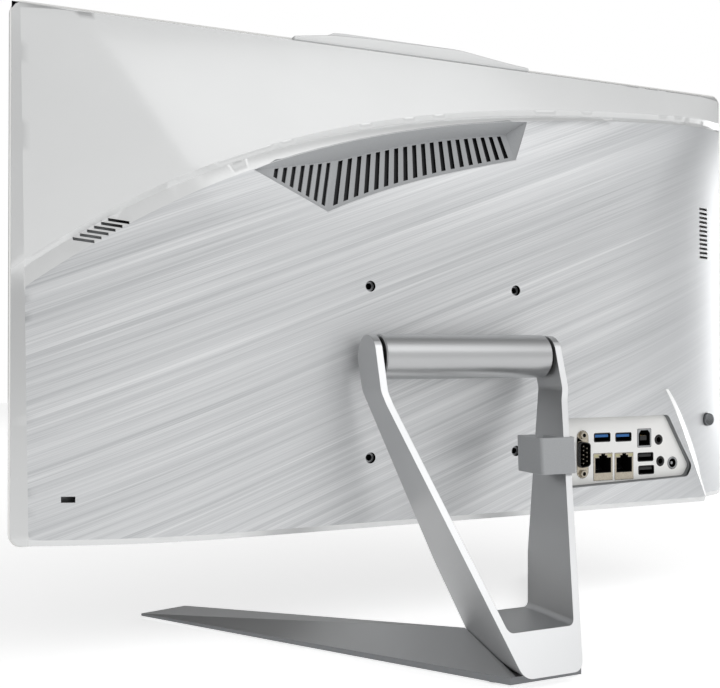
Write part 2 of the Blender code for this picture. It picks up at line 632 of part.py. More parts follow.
def cooling(sheet_face):
    back = BOARD_FACE
    block("cpu_cold_plate", (-62 * MM, -24 * MM), (back + GAP, back + 4 * MM), (168 * MM, 206 * MM),
          COPPER, 0.6 * MM)
    fins = block("cpu_heatsink", (FIN_X[0], FIN_X[1]), (FIN_Y[0], FIN_Y[1]), (FIN_Z[0], FIN_Z[1]), SILVER)
    gaps = []
    pitch = 5.0 * MM
    for k in range(int((FIN_X[1] - FIN_X[0]) / pitch) - 1):
        x = FIN_X[0] + (k + 1) * pitch
        gaps.append(block("fin_gap", (x - 1.6 * MM, x + 1.6 * MM), (FIN_Y[0] + 1 * MM, FIN_Y[1] + 5 * MM),
                          (FIN_Z[0] - 5 * MM, FIN_Z[1] + 5 * MM)))
    boolean(fins, many("fin_gaps", gaps))
    r = 3.0 * MM
    y = back + 4 * MM + GAP + r
    top = FIN_Z[1] + GAP + r
    route = [(-43 * MM, 172 * MM), (-43 * MM, 222 * MM), (-38 * MM, 244 * MM), (-28 * MM, top - 3 * MM),
             (-14 * MM, top), (FIN_X[0] + 30 * MM, top), (FIN_X[1] - 14 * MM, top)]
    curve = bpy.data.curves.new("heat_pipe", "CURVE")
    curve.dimensions = "3D"
    curve.bevel_depth = r
    curve.bevel_resolution = 2
    curve.use_fill_caps = True
    spline = curve.splines.new("POLY")
    spline.points.add(len(route) - 1)
    for point, (x, z) in zip(spline.points, route):
        point.co = (x, y + BACK_Y, z, 1)
    pipe = bpy.data.objects.new("heat_pipe", curve)
    bpy.context.scene.collection.objects.link(pipe)
    finish(pipe, COPPER)
    # the blower: a round housing with an open eye, its outlet facing the fins
    x, z = BLOWER_AT
    low, high = sheet_face + GAP, sheet_face + GAP + BLOWER_T
    shell = rod("blower_housing", (x, (low + high) / 2, z), BLOWER_R, BLOWER_T, "Y", BLACK, 40)
    outlet = block("blower_outlet", (x - BLOWER_R + 1 * MM, x + BLOWER_R - 1 * MM), (low, high),
                   (z, FIN_Z[0] - GAP))
    boolean(shell, outlet, "UNION")
    boolean(shell, rod("blower_room", (x, (low + high) / 2, z), BLOWER_R - 2 * MM, BLOWER_T - 3 * MM, "Y",
                       sides=40))
    boolean(shell, block("blower_duct", (x - BLOWER_R + 3 * MM, x + BLOWER_R - 3 * MM),
                         (low + 1.5 * MM, high - 1.5 * MM), (z, FIN_Z[0] + 5 * MM)))
    boolean(shell, rod("blower_eye", (x, high, z), BLOWER_R - 13 * MM, 8 * MM, "Y", sides=32))
    boolean(shell, rod("blower_pin", (x, low + 3.2 * MM, z), 1.5 * MM, 5.4 * MM, "Y", sides=12), "UNION")
    base = low + 1.5 * MM + GAP
    tall = BLOWER_T - 3 * MM - 2 * GAP
    outline = []
    for k in range(BLADES):
        a = 2 * math.pi * k / BLADES
        for turn, reach, off in ((-0.5, IMPELLER_HUB_R, 0.0), (0.0, IMPELLER_HUB_R, -0.7 * MM),
                                 (BLADE_SWEEP, BLOWER_R - 4 * MM, -0.7 * MM),
                                 (BLADE_SWEEP, BLOWER_R - 4 * MM, 0.7 * MM),
                                 (0.0, IMPELLER_HUB_R, 0.7 * MM)):
            b = a + turn * (2 * math.pi / BLADES if turn < 0 else 1) + off / reach
            outline.append((x + reach * math.cos(b), z + reach * math.sin(b)))
    wheel = prism("blower_impeller", outline, base, base + tall, "Y", BLACK)
    boolean(wheel, rod("impeller_bore", (x, base + tall / 2 - 3 * MM, z), 1.5 * MM + GAP, tall, "Y",
                       sides=12))
    return wheel


def storage(sheet_face):
    low = sheet_face + GAP
    x0, x1, z0, z1 = DRIVE_BOX
    caddy = block("drive_caddy", (x0 - 2 * MM, x1 + 2 * MM), (low, low + 9.5 * MM),
                  (z0 - 2 * MM, z1 + 2 * MM), STEEL)
    boolean(caddy, block("caddy_room", (x0 - GAP, x1 + GAP), (low + 1.2 * MM, low + 20 * MM),
                         (z0 - GAP, z1 + GAP)))
    block("hard_drive", (x0, x1), (low + 1.2 * MM + GAP, low + 1.2 * MM + GAP + 7 * MM), (z0, z1), SILVER,
          0.5 * MM)
    for name, x, z in (("speaker_left", *SPEAKER_LEFT), ("speaker_right", *SPEAKER_RIGHT)):
        block(name, (x - SPEAKER_W / 2, x + SPEAKER_W / 2), (low, low + 8 * MM),
              (z - SPEAKER_H / 2, z + SPEAKER_H / 2), BLACK, 1 * MM)


# ------------------------------------------------------------------ sockets
def socket_body(name, x, z, wide, tall, look, sink=0.0):
    """A socket's block, from its rim just in front of the plate back to the board."""
    front = PLATE_Y + 0.2 * MM - sink
    return block(name, (x - wide / 2, x + wide / 2), (BOARD_FACE + GAP, front),
                 (z - tall / 2, z + tall / 2), look)


def usb_socket(name, x, z):
    wide, tall = 13.1 * MM, 5.7 * MM
    body = socket_body(name, x, z, wide, tall, NICKEL)
    front = PLATE_Y + 0.2 * MM
    boolean(body, block(name + "_mouth", (x - wide / 2 + 0.4 * MM, x + wide / 2 - 0.4 * MM),
                        (front - 10 * MM, front + 1 * MM),
                        (z - tall / 2 + 0.4 * MM, z + tall / 2 - 0.4 * MM)))
    boolean(body, block(name + "_tongue", (x - 5.4 * MM, x + 5.4 * MM),
                        (front - 11 * MM, front - 0.8 * MM),
                        (z + 0.2 * MM, z + 2.0 * MM)), "UNION")


def lan_socket(name, x, z):
    wide, tall = 15.2 * MM, 17.6 * MM
    body = socket_body(name, x, z, wide, tall, NICKEL)
    front = PLATE_Y + 0.2 * MM
    boolean(body, block(name + "_mouth", (x - LAN_W / 2, x + LAN_W / 2),
                        (front - LAN_DEEP, front + 1 * MM),
                        (z + LAN_LOW, z + LAN_LOW + LAN_H)))
    boolean(body, block(name + "_latch", (x - 3 * MM, x + 3 * MM), (front - LAN_DEEP, front + 1 * MM),
                        (z + LAN_LOW + LAN_H - 0.2 * MM, z + LAN_LOW + LAN_H + 2.2 * MM)))


def square_socket(name, x, z):
    wide, tall = 11.4 * MM, 12.2 * MM
    body = socket_body(name, x, z, wide, tall, BLACK)
    front = PLATE_Y + 0.2 * MM
    boolean(body, prism(name + "_mouth", [(x - 4.3 * MM, z - 4.0 * MM), (x + 4.3 * MM, z - 4.0 * MM),
                                          (x + 4.3 * MM, z + 2.4 * MM), (x + 2.6 * MM, z + 4.2 * MM),
                                          (x - 2.6 * MM, z + 4.2 * MM), (x - 4.3 * MM, z + 2.4 * MM)],
                        front - 10 * MM, front + 1 * MM, "Y"))
    boolean(body, block(name + "_post", (x - 2.8 * MM, x + 2.8 * MM), (front - 11 * MM, front - 1 * MM),
                        (z - 1.6 * MM, z + 1.6 * MM)), "UNION")


def serial_socket(name, x, z):
    body = socket_body(name, x, z, 12.0 * MM, 30.8 * MM, NICKEL, sink=0.6 * MM)
    front = PLATE_Y
    shell = [(x + 3.9 * MM, z - 8.4 * MM), (x + 3.9 * MM, z + 8.4 * MM), (x - 3.9 * MM, z + 7.0 * MM),
             (x - 3.9 * MM, z - 7.0 * MM)]
    boolean(body, prism(name + "_shell", round_corners(shell, [2 * MM] * 4), front - 5 * MM,
                        front + 4.6 * MM, "Y"),
            "UNION")
    inner = [(x + 3.3 * MM, z - 7.8 * MM), (x + 3.3 * MM, z + 7.8 * MM), (x - 3.3 * MM, z + 6.5 * MM),
             (x - 3.3 * MM, z - 6.5 * MM)]
    boolean(body, prism(name + "_room", round_corners(inner, [1.5 * MM] * 4), front - 1 * MM,
                        front + 6 * MM, "Y"))
    for row, count in ((1.4, 5), (-1.4, 4)):
        for k in range(count):
            pz = z + (k - (count - 1) / 2) * 2.77 * MM
            pin = rod("%s_pin_%g_%d" % (name, row, k), (x + row * MM, front + 1 * MM, pz), 0.5 * MM,
                      6 * MM, "Y", sides=6)
            boolean(body, pin, "UNION")
    for k in (1, -1):
        post = rod("%s_post_%d" % (name, k), (x, front, z + k * 12.5 * MM), 2.6 * MM, 7 * MM, "Y",
                   sides=6)
        boolean(body, post, "UNION")
        boolean(body, rod("%s_thread_%d" % (name, k), (x, front + 3 * MM, z + k * 12.5 * MM), 1.4 * MM,
                          8 * MM, "Y",
                          sides=12))


def jack(name, x, z, radius, bore, look, pin=0.0):
    front = PLATE_Y + 0.4 * MM
    body = rod(name, (x, (BOARD_FACE + GAP + front) / 2, z), radius, front - BOARD_FACE - GAP, "Y", look,
               24)
    boolean(body, rod(name + "_bore", (x, front - 3 * MM, z), bore, 10 * MM, "Y", sides=20))
    if pin:
        boolean(body, rod(name + "_pin", (x, front - 5 * MM, z), pin, 8 * MM, "Y", sides=12), "UNION")


def sockets():
    plate = prism("io_plate", socket_outline(), PLATE_Y - PLATE_T, PLATE_Y, "Y", WHITE)
    windows = []
    for x, z, wide, tall in ([(SERIAL_AT[0], SERIAL_AT[1], 12.0 * MM, 30.8 * MM)]
                             + [(x, z, 13.1 * MM, 5.7 * MM) for x, z in USB3_AT + USB2_AT]
                             + [(x, z, 15.2 * MM, 17.6 * MM) for x, z in LAN_AT]
                             + [(SQUARE_AT[0], SQUARE_AT[1], 11.4 * MM, 12.2 * MM)]):
        windows.append(block("window", (x - wide / 2 - GAP, x + wide / 2 + GAP),
                             (PLATE_Y - 5 * MM, PLATE_Y + 5 * MM),
                             (z - tall / 2 - GAP, z + tall / 2 + GAP)))
    for x, z, radius in (HEADPHONE_AT, MICROPHONE_AT, POWER_AT):
        windows.append(rod("window", (x, PLATE_Y, z), radius + GAP, 10 * MM, "Y", sides=24))
    boolean(plate, many("io_windows", windows))
    serial_socket("serial_port", *SERIAL_AT)
    for k, spot in enumerate(USB3_AT):
        usb_socket("usb3_port_%d" % (k + 1), *spot)
    for k, spot in enumerate(USB2_AT):
        usb_socket("usb2_port_%d" % (k + 1), *spot)
    for k, spot in enumerate(LAN_AT):
        lan_socket("lan_port_%d" % (k + 1), *spot)
    square_socket("usb_b_port", *SQUARE_AT)
    jack("headphone_jack", *HEADPHONE_AT, 1.8 * MM, BLACK)
    jack("microphone_jack", *MICROPHONE_AT, 1.8 * MM, BLACK)
    jack("dc_power_jack", *POWER_AT, 3.0 * MM, NICKEL, 1.0 * MM)


def power_key():
    x, z = BUTTON_AT
    y = surface(x, z)
    low = y - WALL - 4.6 * MM
    button = rod("power_button", (x, (low + y + BUTTON_OUT) / 2, z), BUTTON_R, y + BUTTON_OUT - low, "Y",
                 SILVER, 28)
    boolean(button, rod("button_flange", (x, low + 0.5 * MM, z), BUTTON_R + 1.2 * MM, 1.0 * MM, "Y",
                        sides=28), "UNION")
    top = low - BUTTON_TRAVEL - GAP
    sheet = FRONT + 0.1 * MM + GLASS_T + CELL_T + LAMP_T + 3 * GAP + SHEET_T
    block("button_board", (x - 5 * MM, x + 7 * MM), (sheet + GAP, top), (z - 9 * MM, z + 9 * MM), BOARD)


# ------------------------------------------------------------------ hinge
def hinge():
    plate = block("vesa_plate", (-58 * MM, 58 * MM), (-WALL - GAP - VESA_PLATE_T, -WALL - GAP),
                  (VESA_Z - 58 * MM, VESA_Z + 58 * MM), STEEL)
    boolean(plate, holes("vesa_threads", vesa_points(), 2.0 * MM, (-8 * MM, 0), 12))
    boolean(plate, holes("plate_screw_holes", bracket_points(), SCREW_R + GAP, (-8 * MM, 0), 12))
    saddle = block("hinge_bracket", (-BRACKET_HALF, BRACKET_HALF), (GAP, PIVOT_Y - 3 * MM),
                   (PIVOT_Z - 10 * MM, PIVOT_Z + 10 * MM), BLACK, 0.8 * MM)
    boolean(saddle, rod("barrel_room", (0, PIVOT_Y, PIVOT_Z), BARREL_R + GAP, 150 * MM, "X", sides=40))
    boolean(saddle, holes("saddle_threads", bracket_points(), SCREW_R + GAP, (-2 * MM, SCREW_REACH + GAP),
                          12))
    inner = LEG_TOP_HALF - LEG_T
    half = inner - WASHER_T - 2 * GAP
    barrel = rod("hinge_barrel", (0, PIVOT_Y, PIVOT_Z), BARREL_R, 2 * half, "X", SILVER, 48)
    for side, word in ((1, "left"), (-1, "right")):
        far, near = LEG_TOP_HALF - LEG_T + PIN_IN_LEG, half - PIN_IN_BARREL
        boolean(barrel, rod("barrel_bore_" + word, (side * half, PIVOT_Y, PIVOT_Z), PIN_R + GAP,
                            2 * (PIN_IN_BARREL + GAP), "X", sides=24))
        rod("hinge_pin_" + word, (side * (far + near) / 2, PIVOT_Y, PIVOT_Z), PIN_R, far - near, "X",
            STEEL, 24)
        washer = rod("friction_washer_" + word, (side * (half + GAP + WASHER_T / 2), PIVOT_Y, PIVOT_Z),
                     WASHER_R,
                     WASHER_T, "X", BLACK, 32)
        boolean(washer, rod("washer_bore_" + word, (side * inner, PIVOT_Y, PIVOT_Z), PIN_R + GAP, 20 * MM,
                            "X", sides=24))
    for k, (x, z) in enumerate(bracket_points()):
        head = -WALL - GAP - VESA_PLATE_T - GAP
        screw = rod("bracket_screw_%d" % (k + 1), (x, (head + SCREW_REACH) / 2, z), SCREW_R,
                    SCREW_REACH - head, "Y",
                    STEEL, 12)
        boolean(screw, rod("bracket_head_%d" % (k + 1), (x, head - SCREW_R / 2, z), 1.9 * SCREW_R,
                           SCREW_R, "Y", sides=16),
                "UNION")


# ------------------------------------------------------------------ stand
def leg_half(z):
    """Half the frame's outer width at a height."""
    slope = (LEG_TOP_HALF - LEG_FOOT_HALF) / (LEG_BEND_Z - FRAME_FOOT_Z)
    return min(LEG_TOP_HALF, LEG_FOOT_HALF + slope * (z - FRAME_FOOT_Z))


def leg_rear(z):
    """Depth of the legs' rear face at a height."""
    (ya, za), (yb, zb) = REAR_POINTS
    return ya + (yb - ya) * (z - za) / (zb - za)


def frame_side():
    """The frame seen from the side, as (y, z)."""
    head = [(PIVOT_Y + LEG_HEAD_R * math.cos(math.radians(a)),
             PIVOT_Z + LEG_HEAD_R * math.sin(math.radians(a)))
            for a in range(25, 200, 22)]
    return head + FRONT_POINTS + REAR_POINTS


def stand_frame():
    frame = prism("stand_frame", frame_side(), -70 * MM, 70 * MM, "X", SILVER)
    z0, z1, bend = FRAME_FOOT_Z, PIVOT_Z + 20 * MM, LEG_BEND_Z
    outer = round_corners([(leg_half(z1), z1), (leg_half(bend), bend), (leg_half(z0), z0),
                           (-leg_half(z0), z0),
                           (-leg_half(bend), bend), (-leg_half(z1), z1)],
                          [0, 14 * MM, 5 * MM, 5 * MM, 14 * MM, 0])
    boolean(frame, prism("frame_outline", outer, -20 * MM, 130 * MM, "Y"), "INTERSECT")
    t, low = LEG_T, CROSSBAR_TOP_Z
    inner = round_corners([(leg_half(z1) - t, z1 + 5 * MM), (leg_half(bend) - t, bend),
                           (leg_half(low) - t, low),
                           (-leg_half(low) + t, low), (-leg_half(bend) + t, bend),
                           (-leg_half(z1) + t, z1 + 5 * MM)],
                          [0, 11 * MM, 4 * MM, 4 * MM, 11 * MM, 0])
    boolean(frame, prism("frame_opening", inner, -30 * MM, 140 * MM, "Y"))
    for side, word in ((1, "left"), (-1, "right")):
        boolean(frame, rod("pin_seat_" + word, (side * (LEG_TOP_HALF - LEG_T), PIVOT_Y, PIVOT_Z),
                           PIN_R + GAP,
                           2 * (PIN_IN_LEG + GAP), "X", sides=24))
    for k, (x, y) in enumerate(BASE_SCREWS):
        boolean(frame, rod("frame_thread_%d" % k, (x, y, FRAME_FOOT_Z), SCREW_R + GAP, 24 * MM, "Z",
                           sides=12))
    return frame


def base_plate():
    """Two arms tapering to the front tips, their tops rising to an inner ridge, on a plate at the rear."""
    plate = prism("base_plate", [(BASE_REAR_HALF, BASE_REAR), (-BASE_REAR_HALF, BASE_REAR),
                                 (-RIDGE_REAR_X - 18 * MM, RIDGE_REAR_Y + 6 * MM),
                                 (-12 * MM, RIDGE_REAR_Y + 4 * MM),
                                 (12 * MM, RIDGE_REAR_Y + 4 * MM),
                                 (RIDGE_REAR_X + 18 * MM, RIDGE_REAR_Y + 6 * MM)],
                  BASE_UNDER, BASE_PLATE_TOP, "Z", SILVER)
    for side, word in ((1, "left"), (-1, "right")):
        bm = bmesh.new()
        sections = 6
        rings = []
        for k in range(sections + 1):
            t = k / sections
            outer = Vector((BASE_REAR_HALF + (BASE_TIP_HALF - BASE_REAR_HALF) * t,
                            BASE_REAR + (BASE_FRONT - BASE_REAR) * t))
            inner = Vector((RIDGE_REAR_X + (BASE_TIP_IN - RIDGE_REAR_X) * t,
                            RIDGE_REAR_Y + (BASE_FRONT - RIDGE_REAR_Y) * t))
            low = BASE_UNDER
            edge = BASE_PLATE_TOP + (TIP_TOP_Z - BASE_PLATE_TOP) * t
            ridge = RIDGE_REAR_Z + (RIDGE_FRONT_Z - RIDGE_REAR_Z) * t
            ring = [(outer.x, outer.y, low), (outer.x, outer.y, edge), (inner.x, inner.y, ridge),
                    (inner.x, inner.y, low)]
            rings.append([bm.verts.new((side * x, y + BACK_Y, z)) for x, y, z in ring])
        heel = [(8 * MM, BASE_REAR, BASE_UNDER), (8 * MM, BASE_REAR, BASE_PLATE_TOP),
                (8 * MM, RIDGE_REAR_Y, RIDGE_REAR_Z + 5 * MM), (8 * MM, RIDGE_REAR_Y, BASE_UNDER)]
        rings.insert(0, [bm.verts.new((side * x, y + BACK_Y, z)) for x, y, z in heel])
        for a, b in zip(rings, rings[1:]):
            for i in range(4):
                j = (i + 1) % 4
                bm.faces.new((a[i], a[j], b[j], b[i]))
        bm.faces.new(rings[0])
        bm.faces.new(rings[-1])
        bmesh.ops.triangulate(bm, faces=list(bm.faces))
        boolean(plate, finish(mesh_object("arm_" + word, bm), None, cutters), "UNION")
    g = GAP
    z0, z1 = FRAME_FOOT_Z - g, 40 * MM
    pocket = [(leg_half(z0) + g, z0), (leg_half(z1) + g, z1), (-leg_half(z1) - g, z1),
              (-leg_half(z0) - g, z0)]
    boolean(plate, prism("frame_pocket", pocket, RIDGE_REAR_Y - 20 * MM, BASE_REAR + 20 * MM, "Y"))
    for k, (x, y) in enumerate(BASE_SCREWS):
        boolean(plate, rod("base_hole_%d" % k, (x, y, 0), SCREW_R + GAP, 30 * MM, "Z", sides=12))
        boolean(plate, rod("base_sink_%d" % k, (x, y, BASE_UNDER), 2 * SCREW_R + GAP, 4 * MM, "Z",
                           sides=16))
    return plate


def base_fixings():
    for k, (x, y) in enumerate(BASE_SCREWS):
        low, high = BASE_UNDER + 0.2 * MM, FRAME_FOOT_Z + 10 * MM
        screw = rod("base_screw_%d" % (k + 1), (x, y, (low + high) / 2), SCREW_R, high - low, "Z", STEEL,
                    12)
        boolean(screw, rod("base_head_%d" % (k + 1), (x, y, low + 0.75 * MM), 2 * SCREW_R, 1.5 * MM, "Z",
                           sides=16), "UNION")
    for side, word in ((1, "left"), (-1, "right")):
        a = Vector((FOOT_FROM[0], FOOT_FROM[1]))
        b = Vector((FOOT_TO[0], FOOT_TO[1]))
        across_it = (b - a).orthogonal().normalized() * FOOT_W / 2
        outline = [(side * p.x, p.y) for p in (a + across_it, b + across_it, b - across_it,
                                               a - across_it)]
        prism("base_foot_" + word, outline, 0, FOOT_T, "Z", BLACK)
    block("base_foot_rear", (-26 * MM, 26 * MM), (86 * MM, 94 * MM), (0, FOOT_T), BLACK)


def cable_clip():
    """A clip that grips the rear of the -X leg, with a channel for cables on its inner side."""
    z0, z1 = CLIP_Z - CLIP_H / 2, CLIP_Z + CLIP_H / 2
    slope_x = (LEG_TOP_HALF - LEG_FOOT_HALF) / (LEG_BEND_Z - FRAME_FOOT_Z)
    slope_y = (leg_rear(z1) - leg_rear(z0)) / CLIP_H
    rear = leg_rear(CLIP_Z)
    half = leg_half(CLIP_Z)
    g = GAP
    w = CLIP_WALL
    outside, leg_in = -half - g - w, -half + LEG_T + g
    channel = leg_in + w + CHANNEL_W
    y_rear, y_front = rear + g + w, rear - CLIP_DEEP
    outline = round_corners(
        [(outside, y_rear), (channel + w, y_rear), (channel + w, y_front), (leg_in + 2 * w, y_front),
         (leg_in + 2 * w, y_front + w), (channel, y_front + w), (channel, y_rear - w),
         (leg_in + w, y_rear - w),
         (leg_in + w, y_front + w + 3 * MM), (leg_in, y_front + w + 3 * MM), (leg_in, rear + g),
         (-half - g, rear + g),
         (-half - g, y_front + 5 * MM), (outside, y_front + 5 * MM)],
        [3 * MM, 3 * MM, 1.5 * MM] + [0] * 11)
    clip = prism("cable_clip", outline, z0, z1, "Z", SILVER)
    for vert in clip.data.vertices:
        rise = vert.co.z - CLIP_Z
        vert.co.x -= slope_x * rise
        vert.co.y += slope_y * rise
    return clip


# ------------------------------------------------------------------ joints
def carry(name, place, pieces, carrier=None):
    """An empty on a joint's axis, which carries the pieces that move about it and their cutters."""
    axis = bpy.data.objects.new(name, None)
    axis.location = (place[0], place[1] + BACK_Y, place[2])
    parts.objects.link(axis)
    if carrier:
        axis.parent = carrier
        axis.matrix_parent_inverse = Matrix.Translation(carrier.location).inverted()
    for piece in pieces:
        tools = [mod.object for mod in piece.modifiers if mod.type == "BOOLEAN"]
        for obj in [piece] + tools:
            obj.parent = axis
            obj.matrix_parent_inverse = Matrix.Translation(axis.location).inverted()
    return axis


sheet_face = screen()
rear_cover()
camera()
boards()
impeller = cooling(sheet_face)
storage(sheet_face)
sockets()
power_key()
hinge()
stand_frame()
base_plate()
base_fixings()
clip = cable_clip()
tilting = [obj for obj in parts.objects if obj.name not in STAND_PIECES and obj not in (impeller, clip)]
tilt = carry("tilt_axis", (0, PIVOT_Y, PIVOT_Z), tilting)
carry("blower_axis", (BLOWER_AT[0], sheet_face + GAP + BLOWER_T / 2, BLOWER_AT[1]), [impeller], tilt)
carry("clip_path", (LEG_T / 2 - leg_half(CLIP_Z), leg_rear(CLIP_Z), CLIP_Z), [clip])
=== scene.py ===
"""All-in-one computer seen from behind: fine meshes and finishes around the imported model."""

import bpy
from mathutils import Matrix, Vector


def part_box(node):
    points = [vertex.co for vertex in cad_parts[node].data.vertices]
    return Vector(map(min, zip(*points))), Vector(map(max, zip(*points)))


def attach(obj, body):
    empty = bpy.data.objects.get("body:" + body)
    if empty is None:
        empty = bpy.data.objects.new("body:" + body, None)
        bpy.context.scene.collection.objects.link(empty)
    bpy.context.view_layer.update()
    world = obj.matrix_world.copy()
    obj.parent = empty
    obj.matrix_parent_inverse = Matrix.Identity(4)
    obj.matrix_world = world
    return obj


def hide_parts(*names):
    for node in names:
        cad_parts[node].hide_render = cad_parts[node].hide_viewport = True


bl_info = {
    "name": "All-in-one computer",
    "version": (1, 0, 0),
    "blender": (4, 5, 0),
    "location": "3D View > Sidebar > Computer",
    "description": "Builds the computer's cover, sockets, hinge, stand and base with their finishes",
    "category": "Object",
}

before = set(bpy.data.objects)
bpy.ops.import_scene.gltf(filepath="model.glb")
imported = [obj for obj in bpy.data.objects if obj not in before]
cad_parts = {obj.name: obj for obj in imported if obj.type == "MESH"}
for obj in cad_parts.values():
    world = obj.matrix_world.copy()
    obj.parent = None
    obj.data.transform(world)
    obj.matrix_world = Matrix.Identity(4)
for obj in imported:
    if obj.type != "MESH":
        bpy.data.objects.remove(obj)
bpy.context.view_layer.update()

import math

import bmesh
import bpy
from bpy.props import FloatProperty, PointerProperty, StringProperty
from mathutils import Matrix, Vector

MM = 0.001
DISPLAY = "display"
STAND = "stand"

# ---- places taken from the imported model
COVER_MIN, COVER_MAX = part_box("rear_cover")
BEZEL_MIN, BEZEL_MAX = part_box("front_bezel")
GLASS_MIN, GLASS_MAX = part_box("front_glass")
PLATE_MIN, PLATE_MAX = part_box("io_plate")
BARREL_MIN, BARREL_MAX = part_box("hinge_barrel")
BASE_MIN, BASE_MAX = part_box("base_plate")
PIVOT = (BARREL_MIN + BARREL_MAX) / 2
BACK_Y = -3.5 * MM              # the back's flat middle
HALF_W = COVER_MAX.x
RIM = COVER_MIN.y               # the cover's front edge
COVER_LOW = COVER_MIN.z
COVER_TOP = COVER_MAX.z

# ---- the back's form
CORNER_R = 6.0 * MM
EDGE_IN_TOP = 4.0 * MM
EDGE_IN_BOTTOM = 8.5 * MM
FLAT_HALF = 130.0 * MM
CROWN_Z = 230.0 * MM
CROWN_DROP = 22.0 * MM
WALL = 2.2 * MM
GROOVE_DEPTH = 2.6 * MM
GROOVE_LIP = 3.4 * MM
BAND_SLIM = 6.3 * MM
BAND_GROWTH = 8.0 * MM
ARC_TOP_Z = 333.7 * MM
ARC_FALLS = ((33.8 * MM, 1.42), (88.5 * MM, 3.55))
STEP_DEPTH = 7.0 * MM
STEP_TOP_Z = 150.0 * MM
STEP_TOP_X = -163.0 * MM
STEP_LEAN = 42.0 * MM
STEP_WIDTH = 13.0 * MM
BOTTOM_BEVEL = 3.0 * MM
STEP_COLUMNS = 4
COLUMNS_RIGHT = 22
COLUMNS_LEFT = 96
LOWER_ROWS = 52
UPPER_ROWS = 26


# ------------------------------------------------------------------ small tools
def linear(code):
    """A colour as sRGB hex, such as 'c8c9cb', in linear light with alpha 1."""
    parts = [int(code[i:i + 2], 16) / 255 for i in (0, 2, 4)]
    return [c / 12.92 if c <= 0.04045 else ((c + 0.055) / 1.055) ** 2.4 for c in parts] + [1.0]


def add(tree, kind, inputs=None, **settings):
    """Add a shader node; an input is a value, or the (node, output) that feeds it."""
    made = tree.nodes.new("ShaderNode" + kind)
    for key, value in settings.items():
        setattr(made, key, value)
    for key, value in (inputs or {}).items():
        if isinstance(value, tuple) and hasattr(value[0], "outputs"):
            tree.links.new(value[0].outputs[value[1]], made.inputs[key])
        else:
            made.inputs[key].default_value = value
    return made


def surface_material(name, metallic, roughness, **sockets):
    """A material with one Principled shader; returns it, its tree and the shader."""
    made = bpy.data.materials.new(name)
    made.use_nodes = True
    tree = made.node_tree
    shader = tree.nodes["Principled BSDF"]
    shader.inputs["Metallic"].default_value = metallic
    shader.inputs["Roughness"].default_value = roughness
    for key, value in sockets.items():
        shader.inputs[key.replace("_", " ")].default_value = value
    return made, tree, shader


def mottled(tree, pattern, low, high, start=0.3, end=0.7):
    """A finish's tone: it goes from low to high as its pattern rises from start to end."""
    share = add(tree, "MapRange", {"Value": pattern, "From Min": start, "From Max": end})
    return add(tree, "Mix", {0: (share, 0), 6: low, 7: high}, data_type="RGBA")


def object_of(name, bm, materials):
    """A linked object of a finished bmesh with its materials."""
    bmesh.ops.recalc_face_normals(bm, faces=bm.faces)
    mesh = bpy.data.meshes.new(name)
    bm.to_mesh(mesh)
    bm.free()
    made = bpy.data.objects.new(name, mesh)
    bpy.context.scene.collection.objects.link(made)
    for one in materials:
        mesh.materials.append(one)
    return made


def settle(obj):
    """Apply the modifiers of an object."""
    seen = bpy.context.evaluated_depsgraph_get()
    mesh = bpy.data.meshes.new_from_object(obj.evaluated_get(seen))
    mesh.name = obj.name
    obj.modifiers.clear()
    obj.data = mesh
    return obj


def combine(obj, tool, operation="DIFFERENCE"):
    """Cut a tool from an object, or join it, keeping the tool's own material on the new faces."""
    mod = obj.modifiers.new("cut", "BOOLEAN")
    mod.object = tool
    mod.operation = operation
    mod.solver = "EXACT"
    mod.material_mode = "TRANSFER"
    settle(obj)
    bpy.data.objects.remove(tool, do_unlink=True)
    return obj


def soften(obj, width, segments=2, angle=28.0, shade=32.0):
    """Round an object's edges and shade it smooth between them."""
    if width:
        mod = obj.modifiers.new("edges", "BEVEL")
        mod.width = width
        mod.segments = segments
        mod.limit_method = "ANGLE"
        mod.angle_limit = math.radians(angle)
        settle(obj)
    obj.data.shade_smooth()
    obj.data.set_sharp_from_angle(angle=math.radians(shade))
    if width:
        mod = obj.modifiers.new("flats", "WEIGHTED_NORMAL")
        mod.keep_sharp = True
        settle(obj)
    return obj


def recoat(obj, finish, wanted):
    """Give another finish to the faces whose direction is wanted."""
    obj.data.materials.append(finish)
    for face in obj.data.polygons:
        if wanted(face.normal):
            face.material_index = len(obj.data.materials) - 1
    return obj


def prism(name, outline, low, high, axis, materials):
    """A flat outline extruded along X, Y or Z (its points are in the other two, in that order)."""
    bm = bmesh.new()
    place = {"X": lambda a, b, t: (t, a, b), "Y": lambda a, b, t: (a, t, b), "Z": lambda a, b, t: (a, b, t)}[axis]
    ends = [[bm.verts.new(place(a, b, t)) for a, b in outline] for t in (low, high)]
    for ring in ends:
        bm.faces.new(ring)
    count = len(outline)
    for i in range(count):
        j = (i + 1) % count
        bm.faces.new((ends[0][i], ends[0][j], ends[1][j], ends[1][i]))
    return object_of(name, bm, materials)


def put_box(bm, x, y, z, index=0):
    """Add a box between pairs of limits to a bmesh."""
    centre = Vector((sum(x) / 2, sum(y) / 2, sum(z) / 2))
    size = (abs(x[1] - x[0]), abs(y[1] - y[0]), abs(z[1] - z[0]))
    place = Matrix.Translation(centre) @ Matrix.Diagonal((*size, 1.0))
    made = bmesh.ops.create_cube(bm, size=1.0, matrix=place)
    for face in {f for v in made["verts"] for f in v.link_faces}:
        face.material_index = index


